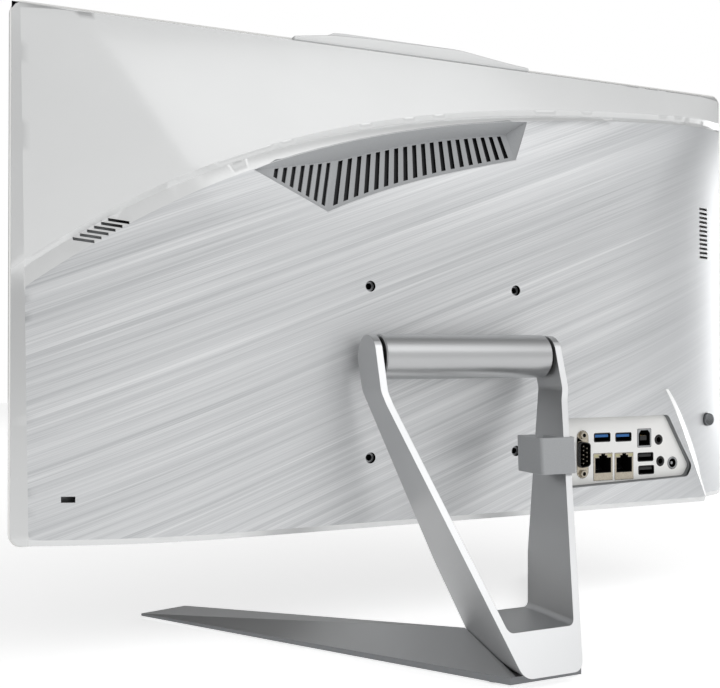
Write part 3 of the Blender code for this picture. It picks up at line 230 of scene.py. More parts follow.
def put_turned(bm, profile, centre, steps=32, index=0, axis="Y"):
    """Add a turned solid to a bmesh: its profile is (radius, along) pairs from one end on the axis to the other."""
    turn = {"X": Matrix.Rotation(math.pi / 2, 4, "Y"), "Y": Matrix.Rotation(-math.pi / 2, 4, "X"),
            "Z": Matrix.Identity(4)}[axis]
    place = Matrix.Translation(centre) @ turn
    rings = []
    for radius, along in profile:
        if radius <= 0:
            rings.append([bm.verts.new(place @ Vector((0, 0, along)))])
            continue
        rings.append([bm.verts.new(place @ Vector((radius * math.cos(2 * math.pi * k / steps),
                                                   radius * math.sin(2 * math.pi * k / steps), along)))
                      for k in range(steps)])
    for a, b in zip(rings, rings[1:]):
        for k in range(steps):
            j = (k + 1) % steps
            corners = [a[k % len(a)], a[j % len(a)], b[j % len(b)], b[k % len(b)]]
            corners = [v for i, v in enumerate(corners) if v not in corners[:i]]
            bm.faces.new(corners).material_index = index


def turned(name, profile, centre, materials, steps=48, axis="Y"):
    """A turned piece: a profile spun about an axis through its centre."""
    bm = bmesh.new()
    put_turned(bm, profile, centre, steps, 0, axis)
    return object_of(name, bm, materials)


def arc_corners(points, radii, steps=6):
    """An outline with each corner replaced by an arc of its radius."""
    out = []
    count = len(points)
    for i, (corner, radius) in enumerate(zip(points, radii)):
        c = Vector(corner)
        if radius <= 0:
            out.append(tuple(c))
            continue
        a = (Vector(points[i - 1]) - c).normalized()
        b = (Vector(points[(i + 1) % count]) - c).normalized()
        half = a.angle(b) / 2
        centre = c + (a + b).normalized() * radius / math.sin(half)
        start = c + a * radius / math.tan(half) - centre
        end = c + b * radius / math.tan(half) - centre
        sweep = start.angle_signed(end)
        for k in range(steps + 1):
            turn = -sweep * k / steps
            x = start.x * math.cos(turn) - start.y * math.sin(turn)
            z = start.x * math.sin(turn) + start.y * math.cos(turn)
            out.append((centre.x + x, centre.y + z))
    return out


def rounded(x0, x1, z0, z1, radius, steps=6):
    """Outline of a rectangle with round corners."""
    return arc_corners([(x1, z1), (x0, z1), (x0, z0), (x1, z0)], [radius] * 4, steps)


def place_piece(obj, body, *nodes, slot=None):
    """Make a piece ride on its body in place of the nodes it stands for."""
    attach(obj, body)
    if nodes:
        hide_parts(*nodes)
    return obj


# ------------------------------------------------------------------ finishes
def hairline_lacquered_abs(look):
    """Silver-white moulded ABS, hairline-textured under clear lacquer: long fine streaks that catch the light."""
    made, tree, shader = surface_material("hairline_lacquered_abs", 0.55, 0.36, Coat_Weight=0.25, Coat_Roughness=0.22)
    place = add(tree, "TexCoord")
    turn = add(tree, "Mapping", {"Vector": (place, "Object"), "Rotation": (0.0, -look.hairline_angle, 0.0)})
    # streaks 0.6 mm apart and 160 mm long, drawn coarser than the real 0.1 mm so that they show
    fine = add(tree, "Mapping", {"Vector": (turn, 0), "Scale": (6.0, 6.0, 1 / (2.4 * look.hairline_pitch))})
    wide = add(tree, "Mapping", {"Vector": (turn, 0), "Scale": (2.2, 2.2, 1 / (14 * look.hairline_pitch))})
    lines = add(tree, "TexNoise", {"Vector": (fine, 0), "Scale": 1.0, "Detail": 4.0, "Roughness": 0.72})
    bands = add(tree, "TexNoise", {"Vector": (wide, 0), "Scale": 1.0, "Detail": 3.0, "Roughness": 0.6})
    both = add(tree, "Mix", {0: 0.5, "A": (lines, 0), "B": (bands, 0)})
    tone = mottled(tree, (both, 0), linear(look.hairline_dark), linear(look.hairline_light), 0.34, 0.66)
    # the texture fades out towards the -X edge into a plain silver a little darker than the streaks: the plain finish
    # there, and painted shade on that side
    split = add(tree, "SeparateXYZ", {0: (place, "Object")})
    fade = add(tree, "MapRange", {"Value": (split, "X"), "From Min": -0.235, "From Max": -0.12})
    plain = add(tree, "Mix", {0: (fade, 0), 6: linear(look.hairline_plain_and_shade), 7: (tone, 2)}, data_type="RGBA")
    tree.links.new(plain.outputs[2], shader.inputs["Base Color"])
    rough = add(tree, "MapRange", {"Value": (both, 0), "To Min": 0.30, "To Max": 0.46})
    tree.links.new(rough.outputs[0], shader.inputs["Roughness"])
    bump = add(tree, "Bump", {"Height": (lines, 0), "Strength": 0.10, "Distance": 0.05 * MM})
    tree.links.new(bump.outputs[0], shader.inputs["Normal"])
    return made


def moulded_gloss(name, code, roughness=0.22, coat=0.3, flake=0.0):
    """Injection-moulded gloss ABS: an even colour, a faint orange-peel ripple, and any metal flake of its lacquer."""
    made, tree, shader = surface_material(name, flake, roughness, Coat_Weight=coat, Coat_Roughness=0.08)
    place = add(tree, "TexCoord")
    # flow marks about 60 mm across and an orange peel about 3 mm across
    flow = add(tree, "TexNoise", {"Vector": (place, "Object"), "Scale": 16.0, "Detail": 2.0})
    base = linear(code)
    dull = [c * 0.965 for c in base[:3]] + [1.0]
    tone = mottled(tree, (flow, 0), dull, base)
    tree.links.new(tone.outputs[2], shader.inputs["Base Color"])
    peel = add(tree, "TexNoise", {"Vector": (place, "Object"), "Scale": 330.0, "Detail": 1.0})
    bump = add(tree, "Bump", {"Height": (peel, 0), "Strength": 0.03, "Distance": 0.05 * MM})
    tree.links.new(bump.outputs[0], shader.inputs["Normal"])
    return made


def moulded_satin(name, code, roughness=0.5, gleam=0.5, flake=0.0):
    """Injection-moulded plastic with a spark-eroded grain of about 0.5 mm: an even, soft sheen."""
    made, tree, shader = surface_material(name, flake, roughness, Specular_IOR_Level=gleam)
    place = add(tree, "TexCoord")
    grain = add(tree, "TexNoise", {"Vector": (place, "Object"), "Scale": 2000.0, "Detail": 2.0})
    base = linear(code)
    tone = mottled(tree, (grain, 0), [c * 0.9 for c in base[:3]] + [1.0], base)
    tree.links.new(tone.outputs[2], shader.inputs["Base Color"])
    bump = add(tree, "Bump", {"Height": (grain, 0), "Strength": 0.12, "Distance": 0.04 * MM})
    tree.links.new(bump.outputs[0], shader.inputs["Normal"])
    return made


def blasted_aluminium(name, code, roughness=0.38, metallic=0.85):
    """Bead-blasted, clear-anodised aluminium: a fine even grain and a broad soft highlight."""
    made, tree, shader = surface_material(name, metallic, roughness)
    place = add(tree, "TexCoord")
    # the blast grain is about 0.4 mm; slow changes of tone run over about 50 mm
    grain = add(tree, "TexNoise", {"Vector": (place, "Object"), "Scale": 2400.0, "Detail": 3.0, "Roughness": 0.6})
    slow = add(tree, "TexNoise", {"Vector": (place, "Object"), "Scale": 20.0, "Detail": 1.0})
    both = add(tree, "Mix", {0: 0.35, "A": (slow, 0), "B": (grain, 0)})
    base = linear(code)
    tone = mottled(tree, (both, 0), [c * 0.94 for c in base[:3]] + [1.0], base)
    tree.links.new(tone.outputs[2], shader.inputs["Base Color"])
    rough = add(tree, "MapRange", {"Value": (grain, 0), "To Min": roughness - 0.04, "To Max": roughness + 0.05})
    tree.links.new(rough.outputs[0], shader.inputs["Roughness"])
    bump = add(tree, "Bump", {"Height": (grain, 0), "Strength": 0.06, "Distance": 0.03 * MM})
    tree.links.new(bump.outputs[0], shader.inputs["Normal"])
    return made


def rolled_metal(name, code, roughness=0.32, stretch=(40.0, 900.0, 900.0)):
    """Rolled or plated sheet metal: faint drawn lines along its length and small marks from handling."""
    made, tree, shader = surface_material(name, 1.0, roughness)
    place = add(tree, "TexCoord")
    run = add(tree, "Mapping", {"Vector": (place, "Object"), "Scale": stretch})
    lines = add(tree, "TexNoise", {"Vector": (run, 0), "Scale": 1.0, "Detail": 3.0})
    base = linear(code)
    tone = mottled(tree, (lines, 0), [c * 0.82 for c in base[:3]] + [1.0], base)
    tree.links.new(tone.outputs[2], shader.inputs["Base Color"])
    rough = add(tree, "MapRange", {"Value": (lines, 0), "To Min": roughness - 0.08, "To Max": roughness + 0.1})
    tree.links.new(rough.outputs[0], shader.inputs["Roughness"])
    bump = add(tree, "Bump", {"Height": (lines, 0), "Strength": 0.08, "Distance": 0.03 * MM})
    tree.links.new(bump.outputs[0], shader.inputs["Normal"])
    return made


def nitrile_rubber():
    """Moulded black nitrile rubber: dark, dull, with a bloom of paler grey."""
    made, tree, shader = surface_material("nitrile_rubber", 0.0, 0.8, IOR=1.5)
    place = add(tree, "TexCoord")
    bloom = add(tree, "TexNoise", {"Vector": (place, "Object"), "Scale": 120.0, "Detail": 4.0})
    tone = mottled(tree, (bloom, 0), linear("121212"), linear("2a2a2a"))
    tree.links.new(tone.outputs[2], shader.inputs["Base Color"])
    bump = add(tree, "Bump", {"Height": (bloom, 0), "Strength": 0.2, "Distance": 0.1 * MM})
    tree.links.new(bump.outputs[0], shader.inputs["Normal"])
    return made


def printed_glass():
    """Toughened glass over a dark screen: black printed border, and a slightly paler picture area behind it."""
    made, tree, shader = surface_material("printed_toughened_glass", 0.0, 0.06, IOR=1.52, Coat_Weight=0.5,
                                          Coat_Roughness=0.02)
    place = add(tree, "TexCoord")
    split = add(tree, "SeparateXYZ", {0: (place, "Object")})
    middle_z = (GLASS_MIN.z + GLASS_MAX.z) / 2 + SCREEN_LIFT
    shift = add(tree, "Math", {0: (split, "Z"), 1: middle_z}, operation="SUBTRACT")
    off_x = add(tree, "Math", {0: (split, "X")}, operation="ABSOLUTE")
    off_z = add(tree, "Math", {0: (shift, 0)}, operation="ABSOLUTE")
    in_x = add(tree, "Math", {0: (off_x, 0), 1: SCREEN_W / 2}, operation="LESS_THAN")
    in_z = add(tree, "Math", {0: (off_z, 0), 1: SCREEN_H / 2}, operation="LESS_THAN")
    inside = add(tree, "Math", {0: (in_x, 0), 1: (in_z, 0)}, operation="MULTIPLY")
    smear = add(tree, "TexNoise", {"Vector": (place, "Object"), "Scale": 12.0, "Detail": 5.0})
    tone = add(tree, "Mix", {0: (inside, 0), 6: linear("08080a"), 7: linear("15171c")}, data_type="RGBA")
    tree.links.new(tone.outputs[2], shader.inputs["Base Color"])
    rough = add(tree, "MapRange", {"Value": (smear, 0), "To Min": 0.04, "To Max": 0.12})
    tree.links.new(rough.outputs[0], shader.inputs["Roughness"])
    return made


def solder_masked_board():
    """Glass-epoxy board under green-black solder mask, with paler copper tracks below it."""
    made, tree, shader = surface_material("solder_masked_board", 0.0, 0.35, IOR=1.55)
    place = add(tree, "TexCoord")
    # a track pitch of about 3 mm
    tracks = add(tree, "TexBrick", {"Vector": (place, "Object"), "Scale": 90.0, "Mortar Size": 0.04,
                                    "Color1": linear("10251b"), "Color2": linear("0d2017"),
                                    "Mortar": linear("2c5a40")})
    tree.links.new(tracks.outputs["Color"], shader.inputs["Base Color"])
    bump = add(tree, "Bump", {"Height": (tracks, "Fac"), "Strength": 0.3, "Distance": 0.05 * MM})
    tree.links.new(bump.outputs[0], shader.inputs["Normal"])
    return made


SCREEN_W = 476.1 * MM
SCREEN_H = 267.8 * MM
SCREEN_LIFT = 2.5 * MM
FINISH = {}


def finishes():
    """Every finish, made once for all the pieces."""
    if FINISH:
        return FINISH
    look = bpy.context.scene.computer_look
    FINISH["hairline"] = hairline_lacquered_abs(look)
    FINISH["white"] = moulded_gloss("gloss_white_abs", look.white_colour)
    FINISH["shell"] = moulded_gloss("silver_white_lacquered_abs", look.shell_colour, 0.24, 0.3, 0.15)
    # painted highlight: pure white for the step's facet, where the light catches it
    FINISH["facet"] = moulded_gloss("white_abs_painted_highlight", "ffffff", 0.3, 0.6)
    FINISH["band"] = moulded_gloss("silver_lacquered_abs", look.band_colour, 0.3, 0.2, 0.5)
    # painted shade: a grey darker than the cover for the vent recess and the cut walls of the cover's openings
    FINISH["recess"] = moulded_satin("grey_abs_painted_recess_shade", look.recess_colour, 0.42)
    FINISH["plate"] = moulded_gloss("white_socket_plate_abs", "eeeeec", 0.3, 0.1)
    FINISH["black"] = moulded_satin("black_abs", "0d0d0e", 0.42)
    FINISH["mesh"] = moulded_satin("black_dust_mesh", "26272a", 0.6)
    # black for the sockets' insulators, and painted shade on the walls of holes, slits and slots and on the cover's
    # inside
    FINISH["void"] = moulded_satin("black_insulator_and_painted_hole_shade", "030303", 0.8, 0.1)
    FINISH["blue"] = moulded_satin("blue_tongue_pbt", "1a63a6", 0.35)
    FINISH["stand"] = blasted_aluminium("blasted_aluminium", look.stand_colour)
    FINISH["barrel"] = blasted_aluminium("turned_satin_aluminium", look.stand_colour, 0.33, 0.9)
    FINISH["base"] = blasted_aluminium("blasted_aluminium_base", look.stand_colour, 0.42, 0.9)
    # painted highlight: a paler copy of the stand's aluminium for the frame's faces towards the camera and the key
    # light
    FINISH["cut"] = blasted_aluminium("aluminium_painted_highlight", "e6e7e8", 0.3, 0.6)
    # painted shade: a darker copy of the aluminium for the base's side faces
    FINISH["edge"] = blasted_aluminium("aluminium_painted_shade_edge", "7c7e80", 0.45, 0.8)
    FINISH["button"] = blasted_aluminium("turned_grey_aluminium", "6c6e70", 0.2, 1.0)
    FINISH["clip"] = moulded_satin("silver_grey_abs", "acaeb0", 0.4, 0.3)
    FINISH["nickel"] = rolled_metal("nickel_plated_steel", "b9b1a2", 0.28, (700.0, 60.0, 700.0))
    FINISH["zinc"] = rolled_metal("zinc_plated_steel", "a6a8aa", 0.36)
    FINISH["copper"] = rolled_metal("drawn_copper", "c07a52", 0.3, (60.0, 900.0, 900.0))
    FINISH["gold"] = rolled_metal("gold_plated_contact", "d8b25c", 0.22)
    FINISH["fins"] = rolled_metal("plain_fin_aluminium", "b4b7ba", 0.35, (900.0, 60.0, 900.0))
    FINISH["rubber"] = nitrile_rubber()
    FINISH["glass"] = printed_glass()
    FINISH["board"] = solder_masked_board()
    FINISH["lamp"] = moulded_satin("white_light_guide_pmma", "dcdcd8", 0.3)
    FINISH["amber"] = moulded_gloss("amber_light_window_pc", "b9b48a", 0.2)
    return FINISH


# ------------------------------------------------------------------ the back's surface
def across(x):
    """0 at the -X edge, 1 at the +X edge."""
    return (x + HALF_W) / (2 * HALF_W)


def arc_z(x):
    """Height of the groove's upper lip."""
    return ARC_TOP_Z - sum(drop * across(x) ** power for drop, power in ARC_FALLS)


def band_z(x):
    """Height of the smooth band's lower edge."""
    return arc_z(x) - BAND_SLIM - BAND_GROWTH * across(x) ** 2


def edge_in(z):
    """How far the cover's outline draws in from the bezel at a height."""
    t = max(0.0, min(1.0, (z - COVER_LOW) / (COVER_TOP - COVER_LOW)))
    return EDGE_IN_BOTTOM + (EDGE_IN_TOP - EDGE_IN_BOTTOM) * t


def step_at(z):
    """Start, width and depth of the step beside the sockets, at a height."""
    t = max(0.0, min(1.0, (STEP_TOP_Z - z) / (STEP_TOP_Z - COVER_LOW)))
    return STEP_TOP_X - STEP_LEAN * t ** 0.65, STEP_WIDTH * t ** 0.6, STEP_DEPTH * t


def surface(x, z):
    """Depth of the back below its flat middle at a point, without the groove."""
    reach = HALF_W - edge_in(z) - FLAT_HALF
    fall = BACK_Y - RIM - edge_in(z)
    side = fall * max(0.0, (abs(x) - FLAT_HALF) / reach) ** 2
    start, wide, deep = step_at(z)
    if x < 0 and wide > 0:
        into = max(0.0, min(1.0, (start - x) / wide))
        kept = 1 - deep / STEP_DEPTH * (1 - into)
        side = max(side * kept, deep * into)
    crown = CROWN_DROP * max(0.0, (z - CROWN_Z) / (COVER_TOP - CROWN_Z)) ** 2
    return -((side ** 6 + crown ** 6) ** (1 / 6))


def column_places(z, half):
    """Places across of the grid's columns at a height: closer together along the step's two edges."""
    start, wide, _ = step_at(z)
    wide = max(wide, 1.0 * MM)
    edge = half - edge_in(z)
    places = [-edge + (start - wide + edge) * k / COLUMNS_RIGHT for k in range(COLUMNS_RIGHT)]
    places += [start - wide + wide * k / STEP_COLUMNS for k in range(STEP_COLUMNS)]
    return places + [start + (edge - start) * k / COLUMNS_LEFT for k in range(COLUMNS_LEFT + 1)]


def row_height(j, x, low, top):
    """Height of the grid's row at a place across: rows follow the groove."""
    lip, band = arc_z(x), band_z(x)
    first = low + BOTTOM_BEVEL + 1.0 * MM
    if j < 2:
        return low + j * 0.4 * MM
    if j <= LOWER_ROWS + 2:
        return first + (band - first) * (j - 2) / LOWER_ROWS
    if j == LOWER_ROWS + 3:
        return lip - GROOVE_LIP
    if j <= LOWER_ROWS + UPPER_ROWS + 4:
        return lip + (top - EDGE_IN_TOP - lip) * (j - LOWER_ROWS - 4) / UPPER_ROWS
    return top


def cover_form(name, inset, edge, materials):
    """The cover's outer form, its creases rounded by edge, or its hollow where inset is given: a closed grid."""
    half = HALF_W - inset
    low = COVER_LOW + inset
    top = COVER_TOP - inset
    rim = RIM - (1.0 * MM if inset else 0.0)
    last = LOWER_ROWS + UPPER_ROWS + 5
    count = COLUMNS_RIGHT + STEP_COLUMNS + COLUMNS_LEFT + 3
    bm = bmesh.new()
    columns = []
    for i in range(count):
        side = -1 if i == 0 else 1 if i == count - 1 else 0
        column = []
        x = side * half if side else column_places(low, half)[i - 1]
        for j in range(last + 1):
            # a row's height depends on the column's own place, so the two settle in a few rounds
            for _ in range(4):
                z = row_height(j, x, low, top)
                x = side * half if side else column_places(z, half)[i - 1]
            y = rim
            if not side and 0 < j < last:
                y = BACK_Y + surface(x, z) - inset
                y -= GROOVE_DEPTH if j == LOWER_ROWS + 3 else 0.0
                y -= BOTTOM_BEVEL if j == 1 else 0.0
            column.append(bm.verts.new((x, y, z)))
        columns.append(column)
    for i in range(count - 1):
        for j in range(last):
            face = bm.faces.new((columns[i][j], columns[i + 1][j], columns[i + 1][j + 1], columns[i][j + 1]))
            brushed = 0 < i < count - 2 and 1 < j < LOWER_ROWS + 2
            # the step's facet faces take pure white: painted highlight
            facet = COLUMNS_RIGHT < i <= COLUMNS_RIGHT + STEP_COLUMNS and columns[i][j].co.z < STEP_TOP_Z - 8 * MM
            face.material_index = 0 if j > LOWER_ROWS + 3 else 1 if not brushed else 5 if facet and not inset else 2
    rim_loop = ([c[0] for c in columns] + columns[-1][1:] + [c[-1] for c in reversed(columns[:-1])]
                + columns[0][-2:0:-1])
    bm.faces.new(rim_loop)
    if edge:
        creases = set()
        for j in (2, LOWER_ROWS + 3, LOWER_ROWS + 4, last - 1):
            creases.update(bm.edges.get((columns[i][j], columns[i + 1][j])) for i in range(1, count - 2))
        for i in (1, count - 2):
            creases.update(bm.edges.get((columns[i][j], columns[i][j + 1])) for j in range(1, last - 1))
        bmesh.ops.bevel(bm, geom=list(creases), offset=edge, segments=3, profile=0.5, affect="EDGES")
    return object_of(name, bm, materials)


# ------------------------------------------------------------------ vent recess
TIP = (120.0 * MM, 269.3 * MM)
LOW = (76.5 * MM, 248.3 * MM)
FAR = (-53.0 * MM, 289.0 * MM)
CORNER = (-65.0 * MM, 315.0 * MM)
DEEP_A = (67.5 * MM, 280.0 * MM, 13.0 * MM)
DEEP_B = (-54.5 * MM, 307.5 * MM, 19.0 * MM)
LOWER_BOW = 3.8 * MM            # how far the lower edge and the deep line bow upwards
DEEP_BOW = 3.0 * MM
TOP_STEPS = 14
FLOOR_STEPS = 16
LEFT_SLOTS = 7
RIGHT_SLOTS = 19
TRAY_T = 1.2 * MM


def lower_edge(t):
    """A point of the recess's lower edge, from its low corner to its far one."""
    return (LOW[0] + (FAR[0] - LOW[0]) * t, LOW[1] + (FAR[1] - LOW[1]) * t + LOWER_BOW * math.sin(math.pi * t ** 0.8))


def deep_line(t):
    """A point of the line where the floor meets the upper wall, as (x, z, depth)."""
    x, z, depth = (a + (b - a) * t for a, b in zip(DEEP_A, DEEP_B))
    return x, z + DEEP_BOW * math.sin(math.pi * t), depth


def recess_edge(grow=0.0):
    """Outline of the recess on the back: tip, lower edge, upper corner, then back along the band."""
    points = [TIP] + [lower_edge(k / FLOOR_STEPS) for k in range(FLOOR_STEPS + 1)] + [CORNER]
    for k in range(1, TOP_STEPS):
        x = CORNER[0] + (TIP[0] - CORNER[0]) * k / TOP_STEPS
        points.append((x, band_z(x) - 0.4 * MM))
    out = []
    for i, point in enumerate(points):
        run = (Vector(points[(i + 1) % len(points)]) - Vector(points[i - 1])).normalized()
        out.append((point[0] - run.y * grow, point[1] + run.x * grow))
    return out


def on_back(point, sink=0.0):
    """A point of the back's surface at an (x, z), sunk by a depth."""
    return Vector((point[0], BACK_Y + surface(*point) - sink, point[1]))


def tray_floor(bm, tip, lower, deep):
    """The slotted floor: a triangle beside the tip, then a ruled strip between the lower edge and the deep line."""
    bm.faces.new((tip, lower[0], deep[0]))
    for k in range(FLOOR_STEPS):
        bm.faces.new((lower[k], lower[k + 1], deep[k + 1], deep[k]))


def vent_tray(kit, size):
    """The recess's own shell: a chamfered edge, two slotted facets, a slanted upper wall and a short end wall."""
    bm = bmesh.new()
    outer = [bm.verts.new(on_back(p, -0.06 * MM)) for p in recess_edge(0.7 * MM)]
    inner = [bm.verts.new(on_back(p, 0.55 * MM)) for p in recess_edge()]
    count = len(inner)
    for i in range(count):
        j = (i + 1) % count
        bm.faces.new((outer[i], outer[j], inner[j], inner[i]))
    deep = []
    for k in range(FLOOR_STEPS + 1):
        x, z, depth = deep_line(k / FLOOR_STEPS)
        deep.append(bm.verts.new((x, BACK_Y - depth, z)))
    tip, lower, corner = inner[0], inner[1:FLOOR_STEPS + 2], inner[FLOOR_STEPS + 2]
    tray_floor(bm, tip, lower, deep)
    bm.faces.new((lower[-1], corner, deep[-1]))
    wall = [corner] + inner[FLOOR_STEPS + 3:] + [tip]
    line = deep[::-1]
    i = j = 0
    while i < len(wall) - 1 or j < len(line) - 1:
        if (i + 1) / (len(wall) - 1) <= (j + 1) / (len(line) - 1) and i < len(wall) - 1:
            bm.faces.new((wall[i], wall[i + 1], line[j]))
            i += 1
        else:
            bm.faces.new((wall[i], line[j + 1], line[j]))
            j += 1
    # the whole recess takes the darker grey: painted shade
    tray = object_of("vent_tray", bm, [kit["recess"]])
    if sum(face.normal.y * face.area for face in tray.data.polygons) < 0:
        tray.data.flip_normals()
    mod = tray.modifiers.new("wall", "SOLIDIFY")
    mod.thickness = TRAY_T
    mod.offset = -1.0
    settle(tray)
    bm = bmesh.new()
    for facet, number, first, final in ((0, LEFT_SLOTS, 0.27, 0.93), (1, RIGHT_SLOTS, 0.035, 0.955)):
        for k in range(number):
            t = first + (final - first) * k / (number - 1)
            half = size.slot_share / 2 * (final - first) / (number - 1)
            ends = []
            for share in (t - half, t + half):
                if facet:
                    low_point, high_point = Vector(lower_edge(share)), Vector(deep_line(share)[:2])
                else:
                    low_point = Vector(TIP).lerp(Vector(LOW), share)
                    high_point = Vector(TIP).lerp(Vector(DEEP_A[:2]), share)
                run = (high_point - low_point).normalized()
                ends.append((low_point + run * 2.0 * MM, high_point - run * 0.9 * MM))
            outline = [ends[0][0], ends[1][0], ends[1][1], ends[0][1]]
            rings = [[bm.verts.new((p.x, y, p.y)) for p in outline] for y in (BACK_Y - 40 * MM, BACK_Y + 10 * MM)]
            faces = [bm.faces.new(ring) for ring in rings]
            for i in range(4):
                j = (i + 1) % 4
                faces.append(bm.faces.new((rings[0][i], rings[0][j], rings[1][j], rings[1][i])))
            for face in faces:
                face.material_index = facet
    combine(tray, object_of("slots", bm, [kit["recess"], kit["void"]]))
    return soften(tray, 0.0)


def dust_mesh(kit):
    """A fine black dust mesh behind the slots, 3 mm under the floor."""
    bm = bmesh.new()
    sink = 3.0 * MM
    tip = bm.verts.new(on_back(TIP, 2.5 * MM))
    lower, deep = [], []
    for k in range(FLOOR_STEPS + 1):
        lower.append(bm.verts.new(on_back(lower_edge(k / FLOOR_STEPS), 0.5 * MM + sink)))
        x, z, depth = deep_line(k / FLOOR_STEPS)
        deep.append(bm.verts.new((x, BACK_Y - depth - sink, z)))
    tray_floor(bm, tip, lower, deep)
    sheet = object_of("dust_mesh", bm, [kit["mesh"]])
    mod = sheet.modifiers.new("wall", "SOLIDIFY")
    mod.thickness = 0.3 * MM
    return soften(settle(sheet), 0.0)


# ------------------------------------------------------------------ rear cover
SOCKET_X = (-88.0 * MM, -173.0 * MM, -193.2 * MM, -188.5 * MM)
SOCKET_Z = (80.8 * MM, 125.0 * MM, 90.0 * MM, 83.4 * MM)
FIT = 0.3 * MM
VESA = 100.0 * MM
VESA_Z = 156.0 * MM
BUTTON_AT = (-219.3 * MM, 120.2 * MM)
BUTTON_R = 4.4 * MM
LOCK_AT = (218.4 * MM, 89.8 * MM)
SIDE_SLIT_COUNT = 8
SIDE_SLIT_START = (223.0 * MM, 223.6 * MM)
SIDE_SLIT_END = (198.6 * MM, 238.2 * MM)
SIDE_SLIT_LONG = 10.3 * MM
SIDE_SLIT_DROP = 1.8 * MM
EDGE_SLIT_COUNT = 12
EDGE_SLIT_X = -211.5 * MM
EDGE_SLIT_LONG = 10.5 * MM
EDGE_SLIT_LOW = 234.5 * MM
EDGE_SLIT_PITCH = 3.1 * MM
VOID_SLOT = 3                   # the cover's slot for unlit depths


def socket_outline(g=0.0):
    """Outline of the socket plate, or larger all round."""
    points = [(SOCKET_X[0] + g, SOCKET_Z[0] - g), (SOCKET_X[0] + g, SOCKET_Z[1] + g),
              (SOCKET_X[1] - g * 0.7, SOCKET_Z[1] + g), (SOCKET_X[2] - g, SOCKET_Z[2]),
              (SOCKET_X[3] - g * 0.7, SOCKET_Z[3] - g)]
    return arc_corners(points, [3 * MM + g, 3 * MM + g, 4 * MM + g, 4 * MM + g, 4 * MM + g])


def slit_bars(kit, size):
    """Cutters of the slits in the band and of those by the -X edge."""
    bm = bmesh.new()
    for k in range(SIDE_SLIT_COUNT):
        t = k / (SIDE_SLIT_COUNT - 1)
        x = SIDE_SLIT_START[0] + (SIDE_SLIT_END[0] - SIDE_SLIT_START[0]) * t
        z = SIDE_SLIT_START[1] + (SIDE_SLIT_END[1] - SIDE_SLIT_START[1]) * t
        half = size.slit_width / 2
        outline = [(x, z - half), (x, z + half), (x - SIDE_SLIT_LONG, z + half - SIDE_SLIT_DROP),
                   (x - SIDE_SLIT_LONG, z - half - SIDE_SLIT_DROP)]
        ends = [[bm.verts.new((px, y, pz)) for px, pz in outline] for y in (RIM, BACK_Y + 5 * MM)]
        for ring in ends:
            bm.faces.new(ring)
        for i in range(4):
            j = (i + 1) % 4
            bm.faces.new((ends[0][i], ends[0][j], ends[1][j], ends[1][i]))
    for k in range(EDGE_SLIT_COUNT):
        z = EDGE_SLIT_LOW + k * EDGE_SLIT_PITCH
        put_box(bm, (EDGE_SLIT_X - EDGE_SLIT_LONG, EDGE_SLIT_X), (RIM, BACK_Y + 5 * MM),
                (z - size.slit_width / 2, z + size.slit_width / 2))
    return object_of("slit_bars", bm, [kit["void"]])


def build_cover(kit, size):
    """The rear cover: brushed middle, band, stepped corner, and the openings for vent, sockets, button and screws."""
    cover = cover_form("cover_shell", 0.0, size.cover_edge, [kit["shell"], kit["band"], kit["hairline"], kit["void"],
                                                            kit["recess"], kit["facet"]])
    outline = rounded(-HALF_W, HALF_W, COVER_LOW, COVER_TOP, CORNER_R, 8)
    combine(cover, prism("outline", outline, RIM - 5 * MM, BACK_Y + 10 * MM, "Y", [kit["band"]]), "INTERSECT")
    # the cover's inside is black: painted shade seen through its openings
    hollow = cover_form("hollow", WALL, 0.0, [kit["void"]])
    inner = rounded(WALL - HALF_W, HALF_W - WALL, COVER_LOW + WALL, COVER_TOP - WALL, CORNER_R, 8)
    combine(hollow, prism("inner_outline", inner, RIM - 5 * MM, BACK_Y + 10 * MM, "Y", [kit["void"]]), "INTERSECT")
    combine(cover, hollow)
    # the walls of the openings below keep the tools' darker grey: painted shade
    combine(cover, prism("recess_mouth", recess_edge(0.35 * MM), BACK_Y - 40 * MM, BACK_Y + 10 * MM, "Y",
                         [kit["recess"]]))
    skirt = prism("socket_skirt", socket_outline(FIT + 2.0 * MM), PLATE_MIN.y - 1 * MM, PLATE_MAX.y + 0.3 * MM, "Y",
                  [kit["recess"]])
    combine(cover, skirt, "UNION")
    combine(cover, prism("socket_mouth", socket_outline(FIT), BACK_Y - 40 * MM, BACK_Y + 10 * MM, "Y",
                         [kit["recess"]]))
    combine(cover, slit_bars(kit, size))
    bm = bmesh.new()
    for sx in (1, -1):
        for sz in (1, -1):
            spot = (sx * VESA / 2, BACK_Y, VESA_Z + sz * VESA / 2)
            reach = 3.2 * MM
            put_turned(bm, [(0, -6 * MM), (reach, -6 * MM), (reach, 3 * MM), (0, 3 * MM)], spot, 32)
    put_box(bm, (LOCK_AT[0] - 3.5 * MM, LOCK_AT[0] + 3.5 * MM), (RIM, BACK_Y + 4 * MM),
            (LOCK_AT[1] - 1.6 * MM, LOCK_AT[1] + 1.6 * MM))
    combine(cover, object_of("hole_bars", bm, [kit["void"]]))
    spot = (BUTTON_AT[0], BACK_Y - 12 * MM, BUTTON_AT[1])
    combine(cover, turned("button_bore", [(0, -16 * MM), (BUTTON_R + FIT, -16 * MM), (BUTTON_R + FIT, 14 * MM),
                                          (0, 14 * MM)], spot, [kit["recess"]]))
    bm = bmesh.new()
    bm.from_mesh(cover.data)
    for sx in (1, -1):
        for sz in (1, -1):
            spot = (sx * VESA / 2, BACK_Y - WALL - 0.1 * MM, VESA_Z + sz * VESA / 2)
            put_turned(bm, [(0, -5 * MM), (4.4 * MM, -5 * MM), (4.4 * MM, 0), (3.2 * MM, 0), (3.2 * MM, -4 * MM),
                            (0, -4 * MM)], spot, 32, VOID_SLOT)
    bm.to_mesh(cover.data)
    bm.free()
    return soften(cover, 0.0)


